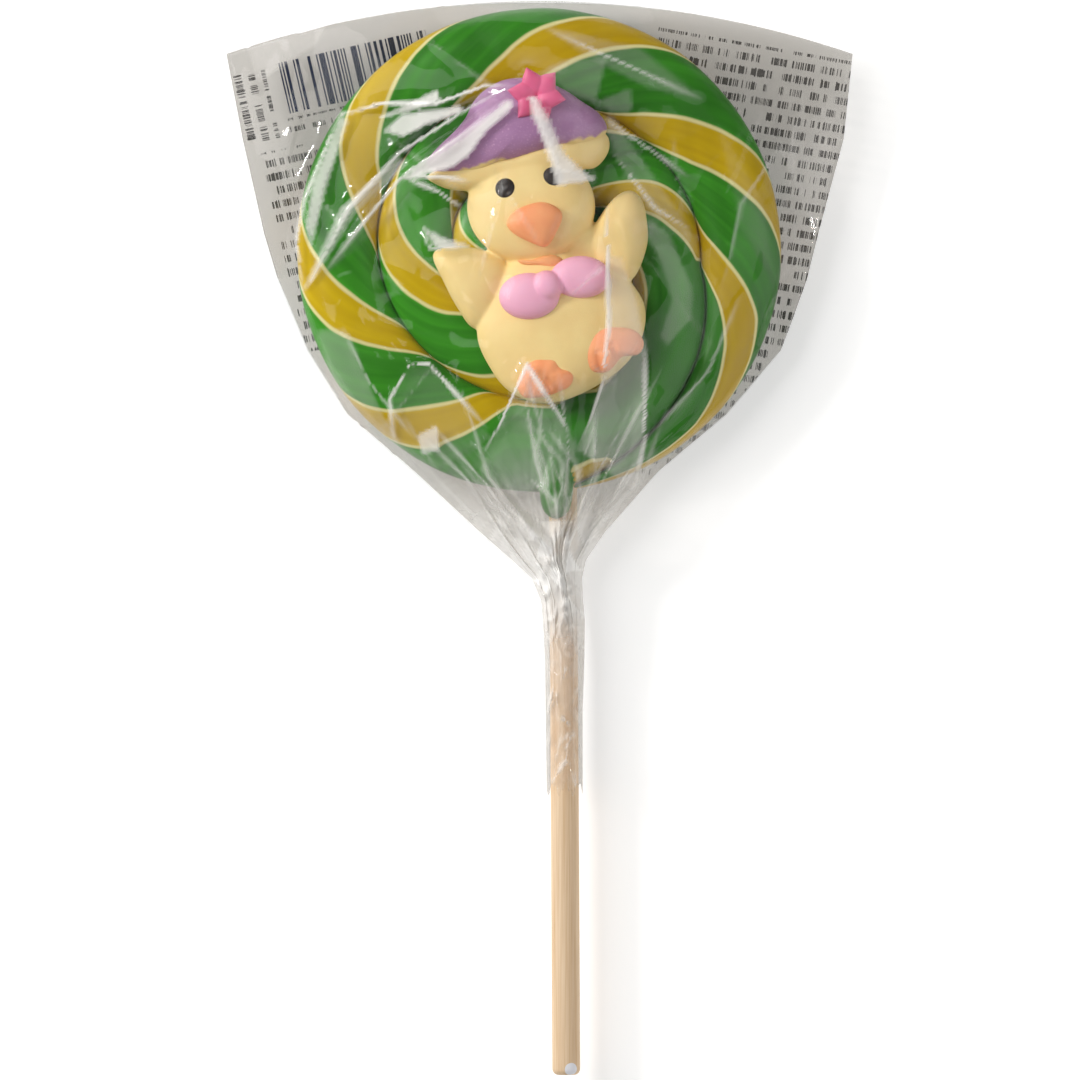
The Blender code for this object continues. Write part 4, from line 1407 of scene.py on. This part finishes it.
    def stretch_grid(self, z: Points, old: tuple, new: tuple) -> Points:
        """Reads a coarse grid of heights at the rows and columns of a finer one.

        Args:
            z: the heights on the coarse grid.
            old: the coarse grid's rows and columns.
            new: the finer grid's rows and columns.

        Returns:
            The heights on the finer grid.
        """
        tall = np.array([np.interp(new[0], old[0], column) for column in z.T]).T
        return np.array([np.interp(new[1], old[1], row) for row in tall])

    def chance_creases(self) -> list[Crease]:
        """Draws the small creases by chance: across the disc, fanning out from the neck, and on the sleeve.

        Returns:
            The creases.
        """
        chance = random.Random(11)
        neck = Vector(self.neck_mm)
        disc, fan, sleeve = (range(count) for count in self.chance_counts)
        lines = []
        for _ in disc:
            start = Vector((chance.uniform(-50, 50), chance.uniform(-30, 42)))
            way = (neck - start).normalized()
            way.rotate(Matrix.Rotation(chance.gauss(0, 0.6), 2))
            line = (tuple(start), tuple(start + way * chance.uniform(8, 30)))
            lines.append((line, chance.uniform(0.1, 0.4), 3.0, chance.uniform(-0.4, 0.4)))
        for _ in fan:
            turn = math.radians(chance.uniform(35, 145))
            way = Vector((math.cos(turn), math.sin(turn)))
            start, end = neck + way * chance.uniform(14, 42), neck + way * chance.uniform(-2, 8)
            side = Vector((-way.y, way.x)) * chance.gauss(0, 1.6)
            line = (tuple(start), tuple((start + end) / 2 + side), tuple(end))
            lines.append((line, chance.uniform(0.2, 0.8), 2.0, chance.uniform(-0.7, 1.1)))
        for _ in sleeve:
            start = Vector((chance.uniform(0, 9), chance.uniform(-94, -52)))
            line = (tuple(start), tuple(start + Vector((chance.uniform(-3, 3), chance.uniform(-7, 7)))))
            lines.append((line, chance.uniform(0.2, 0.6), 1.0, chance.uniform(-1.0, 1.6)))
        return [
            Crease(line, high, chance.uniform(0.3, 1) * wide, chance.uniform(0.3, 1) * wide, max(0.0, white))
            for line, high, wide, white in lines
        ]

    def folds(self, plan: Points) -> tuple[Points, Points]:
        """Folds the front sheet: drawn creases, chance ones, flat facets, and pleats that gather at the neck.

        Args:
            plan: the plan.

        Returns:
            The height that they add at each point, and how milky the film is there, in painted sheen and
            painted highlights.
        """
        x, y = plan[..., 0], plan[..., 1]
        rise, veil = np.zeros(x.shape), np.zeros(x.shape)
        # Drawn and chance creases add painted highlight lines along their ridges.
        for crease in self.creases:
            height, white = crease.shape(x, y)
            rise = np.maximum(rise, height)
            veil = np.maximum(veil, self.drawn_painted_highlight * white)
        for crease in self.chance_creases():
            height, white = crease.shape(x, y)
            rise += height
            veil = np.maximum(veil, self.chance_painted_highlight * white)
        # Each facet adds its painted reflection to the milky share.
        for facet in self.painted_sheen_facets:
            veil += facet.cover(x, y)
        u = np.linspace(-1, 1, self.columns + 1)[None, :]
        # The pleats run down the sheet, swaying, each of its own depth.
        sway = 0.8 * np.sin(5 * u + y / (9 * MM)) + 0.5 * np.sin(13 * u - y / (6 * MM))
        phase = self.pleats * (u + 1) / 2 + sway
        deep = np.random.default_rng(7).uniform(0, 1, self.pleats + 6) ** 2
        tooth = 1 - np.abs(2 * (phase - np.floor(phase)) - 1)
        strength = np.interp(y / MM, *zip(*self.pleats_mm)) * MM
        rise += strength * tooth * deep[np.floor(phase).astype(int) + 2]
        # The larger dents add faint painted sheen on some of their facets.
        for cell, high, milky, seed in self.dents:
            height, patch = self.facets(x, y, cell, seed)
            rise += high * (1 + height)
            veil += milky * np.clip(patch, 0, 1) ** 2
        # The candy's end holds the film off the neck, so it stays clear there.
        over_end = np.exp(-((x - self.tongue_end[0]) / self.tongue_half) ** 4) * (y > self.tongue_end[1])
        # The gathered neck is painted milky with painted sheen, less over the candy's end.
        gather = np.interp(y / MM, *zip(*self.gather_mm)) * (1 - 0.8 * over_end)
        veil += gather * (0.8 + 0.25 * self.facets(x, y, 3.0 * MM, 9)[1])
        edge = np.clip(6 * (1 - np.abs(u)), 0, 1)
        return rise * edge * np.clip((self.top_y - y - 1 * MM) / (3 * MM), 0, 1), veil

    def facets(self, x: Points, y: Points, cell: float, seed: int) -> tuple[Points, Points]:
        """Creases a sheet into flat uneven triangles.

        Args:
            x: the points' X.
            y: the points' Y.
            cell: the triangles' usual side.
            seed: picks one creasing.

        Returns:
            The height, from -1 to 1, and one number from -1 to 1 for each triangle.
        """
        # Two bent sets of lines cut the sheet into cells, and a diagonal cuts each cell in two.
        a = (0.9 * x + 0.5 * y) / cell + 0.40 * np.sin(y / (1.3 * cell) + seed)
        b = (0.8 * y - 0.4 * x) / cell + 0.40 * np.sin(x / (1.7 * cell) + 2 * seed)
        i, j = np.floor(a).astype(int), np.floor(b).astype(int)
        table = np.random.default_rng(seed)
        heights = table.uniform(-1, 1, (128, 128))
        patches = table.uniform(-1, 1, (2, 128, 128))
        first = a - i > b - j
        big, small = np.maximum(a - i, b - j), np.minimum(a - i, b - j)
        side = np.where(first, heights[(i + 1) % 128, j % 128], heights[i % 128, (j + 1) % 128])
        height = (heights[i % 128, j % 128] * (1 - big) + side * (big - small)
                  + heights[(i + 1) % 128, (j + 1) % 128] * small)
        return height, np.where(first, patches[0][i % 128, j % 128], patches[1][i % 128, j % 128])

    def sheet(self, kind: Sheet, plan: Points, z: Points, veil: Points, finish: CelluloseFilm) -> Thing:
        """Builds one sheet, as a grid shaped to its heights, with the film's wall.

        Args:
            kind: which sheet.
            plan: the plan.
            z: the heights.
            veil: how milky the film is at each point, in painted sheen and painted highlights.
            finish: the film.

        Returns:
            The finished sheet.
        """
        made = primitive(bpy.ops.mesh.primitive_grid_add, kind.value, x_subdivisions=self.columns,
                         y_subdivisions=self.rows, size=0.1)
        places = np.concatenate([plan, z[..., None]], axis=2)
        made.data.vertices.foreach_set("co", places[::-1].ravel())
        made.data.attributes.new("veil", "FLOAT", "POINT").data.foreach_set("value", veil[::-1].ravel())
        if kind is Sheet.BACK:
            with editing(made):
                bpy.ops.mesh.flip_normals()
        add_modifier(made, "SOLIDIFY", thickness=self.wall, offset=-1.0)
        dress(made, finish.material())
        return made

    def build(self, contents: list[Thing]) -> list[Thing]:
        """Builds the bag over its contents.

        Args:
            contents: the finished pieces inside it.

        Returns:
            The two sheets.
        """
        plan = self.plan()
        top = self.widen(self.reach(plan, contents, True)) + self.clear
        low = self.widen(-self.reach(plan, contents, False)) + self.clear
        moved = self.onto_lines(plan)
        rise, veil = self.folds(moved)
        front = np.maximum(self.carried(self.taut(top), plan, moved) + rise, self.mid_z)
        mirrored = self.carried(self.taut(low + 2 * self.mid_z), plan, moved) - 2 * self.mid_z
        back = np.maximum(-mirrored, 0.02 * MM)
        pieces = [
            self.sheet(Sheet.FRONT, moved, front, veil, CelluloseFilm("clear_film")),
            # The back sheet gets a share of the same painted sheen.
            self.sheet(Sheet.BACK, moved, back, self.back_painted_sheen * veil,
                       CelluloseFilm("printed_film", tint="#DEDDDB", printed=True)),
        ]
        for piece in pieces:
            report(piece, ["film_bag"])
        return pieces


@dataclass
class Studio:
    """The table, the lights and the camera."""

    centre: Vector = field(default_factory=lambda: Vector((0.18, -51.8, 5.0)) * MM)
    height: float = 2.4
    seen_width: float = 192.9 * MM
    film_width_mm: float = 36.0
    table_side: float = 6.0
    table_z: float = -0.05 * MM
    sky: str = "#F2F4F6"
    sky_strength: float = 0.15
    lamps: tuple = (
        ("sparkle", 162, 59, 0.9, 0.14, 3.8), ("key", 150, 50, 1.2, 1.1, 9.7),
        ("right_panel", -20, 55, 1.1, 1.2, 6.0),
    )

    def build(self) -> None:
        """Sets the table, lights and camera."""
        table = primitive(bpy.ops.mesh.primitive_plane_add, "table", size=self.table_side,
                          location=(0, 0, self.table_z))
        table.data.materials.append(TablePaint().material())
        for lamp in self.lamps:
            self.lamp(*lamp)
        world = bpy.data.worlds.new("studio")
        world.use_nodes = True
        sky = world.node_tree.nodes["Background"].inputs
        sky["Color"].default_value = linear(self.sky)
        sky["Strength"].default_value = self.sky_strength
        bpy.context.scene.world = world
        bpy.context.scene.view_settings.view_transform = "Standard"
        self.camera()

    def lamp(self, name: str, azimuth: float, polar: float, away: float, size: float, power: float) -> None:
        """Adds a square soft light that faces the lollipop.

        Args:
            name: the light's name.
            azimuth: its direction in the table's plane, in degrees from +X.
            polar: its angle from straight up, in degrees.
            away: its distance.
            size: its side.
            power: its power in watts.
        """
        a, p = math.radians(azimuth), math.radians(polar)
        way = Vector((math.sin(p) * math.cos(a), math.sin(p) * math.sin(a), math.cos(p)))
        data = bpy.data.lights.new(name, "AREA")
        data.size = size
        data.energy = power
        lamp = bpy.data.objects.new(name, data)
        lamp.location = way * away
        lamp.rotation_mode = "QUATERNION"
        lamp.rotation_quaternion = way.to_track_quat("Z", "Y")
        bpy.context.scene.collection.objects.link(lamp)

    def camera(self) -> None:
        """Adds the camera straight above, its top towards +Y."""
        data = bpy.data.cameras.new("camera")
        data.sensor_width = self.film_width_mm
        data.lens = self.film_width_mm * self.height / self.seen_width
        camera = bpy.data.objects.new("camera", data)
        camera.location = self.centre + Vector((0, 0, self.height))
        bpy.context.scene.collection.objects.link(camera)
        bpy.context.scene.camera = camera


def main() -> None:
    """Builds the lollipop from the inside out, then the bag and the studio."""
    logging.basicConfig(level=logging.INFO, format="%(message)s")
    candy = CandySwirl().build()
    stick = LollyStick().build()
    chick = SugarChick().build()
    FilmBag().build([candy, stick, *chick])
    Studio().build()


if __name__ == "__main__":
    main()
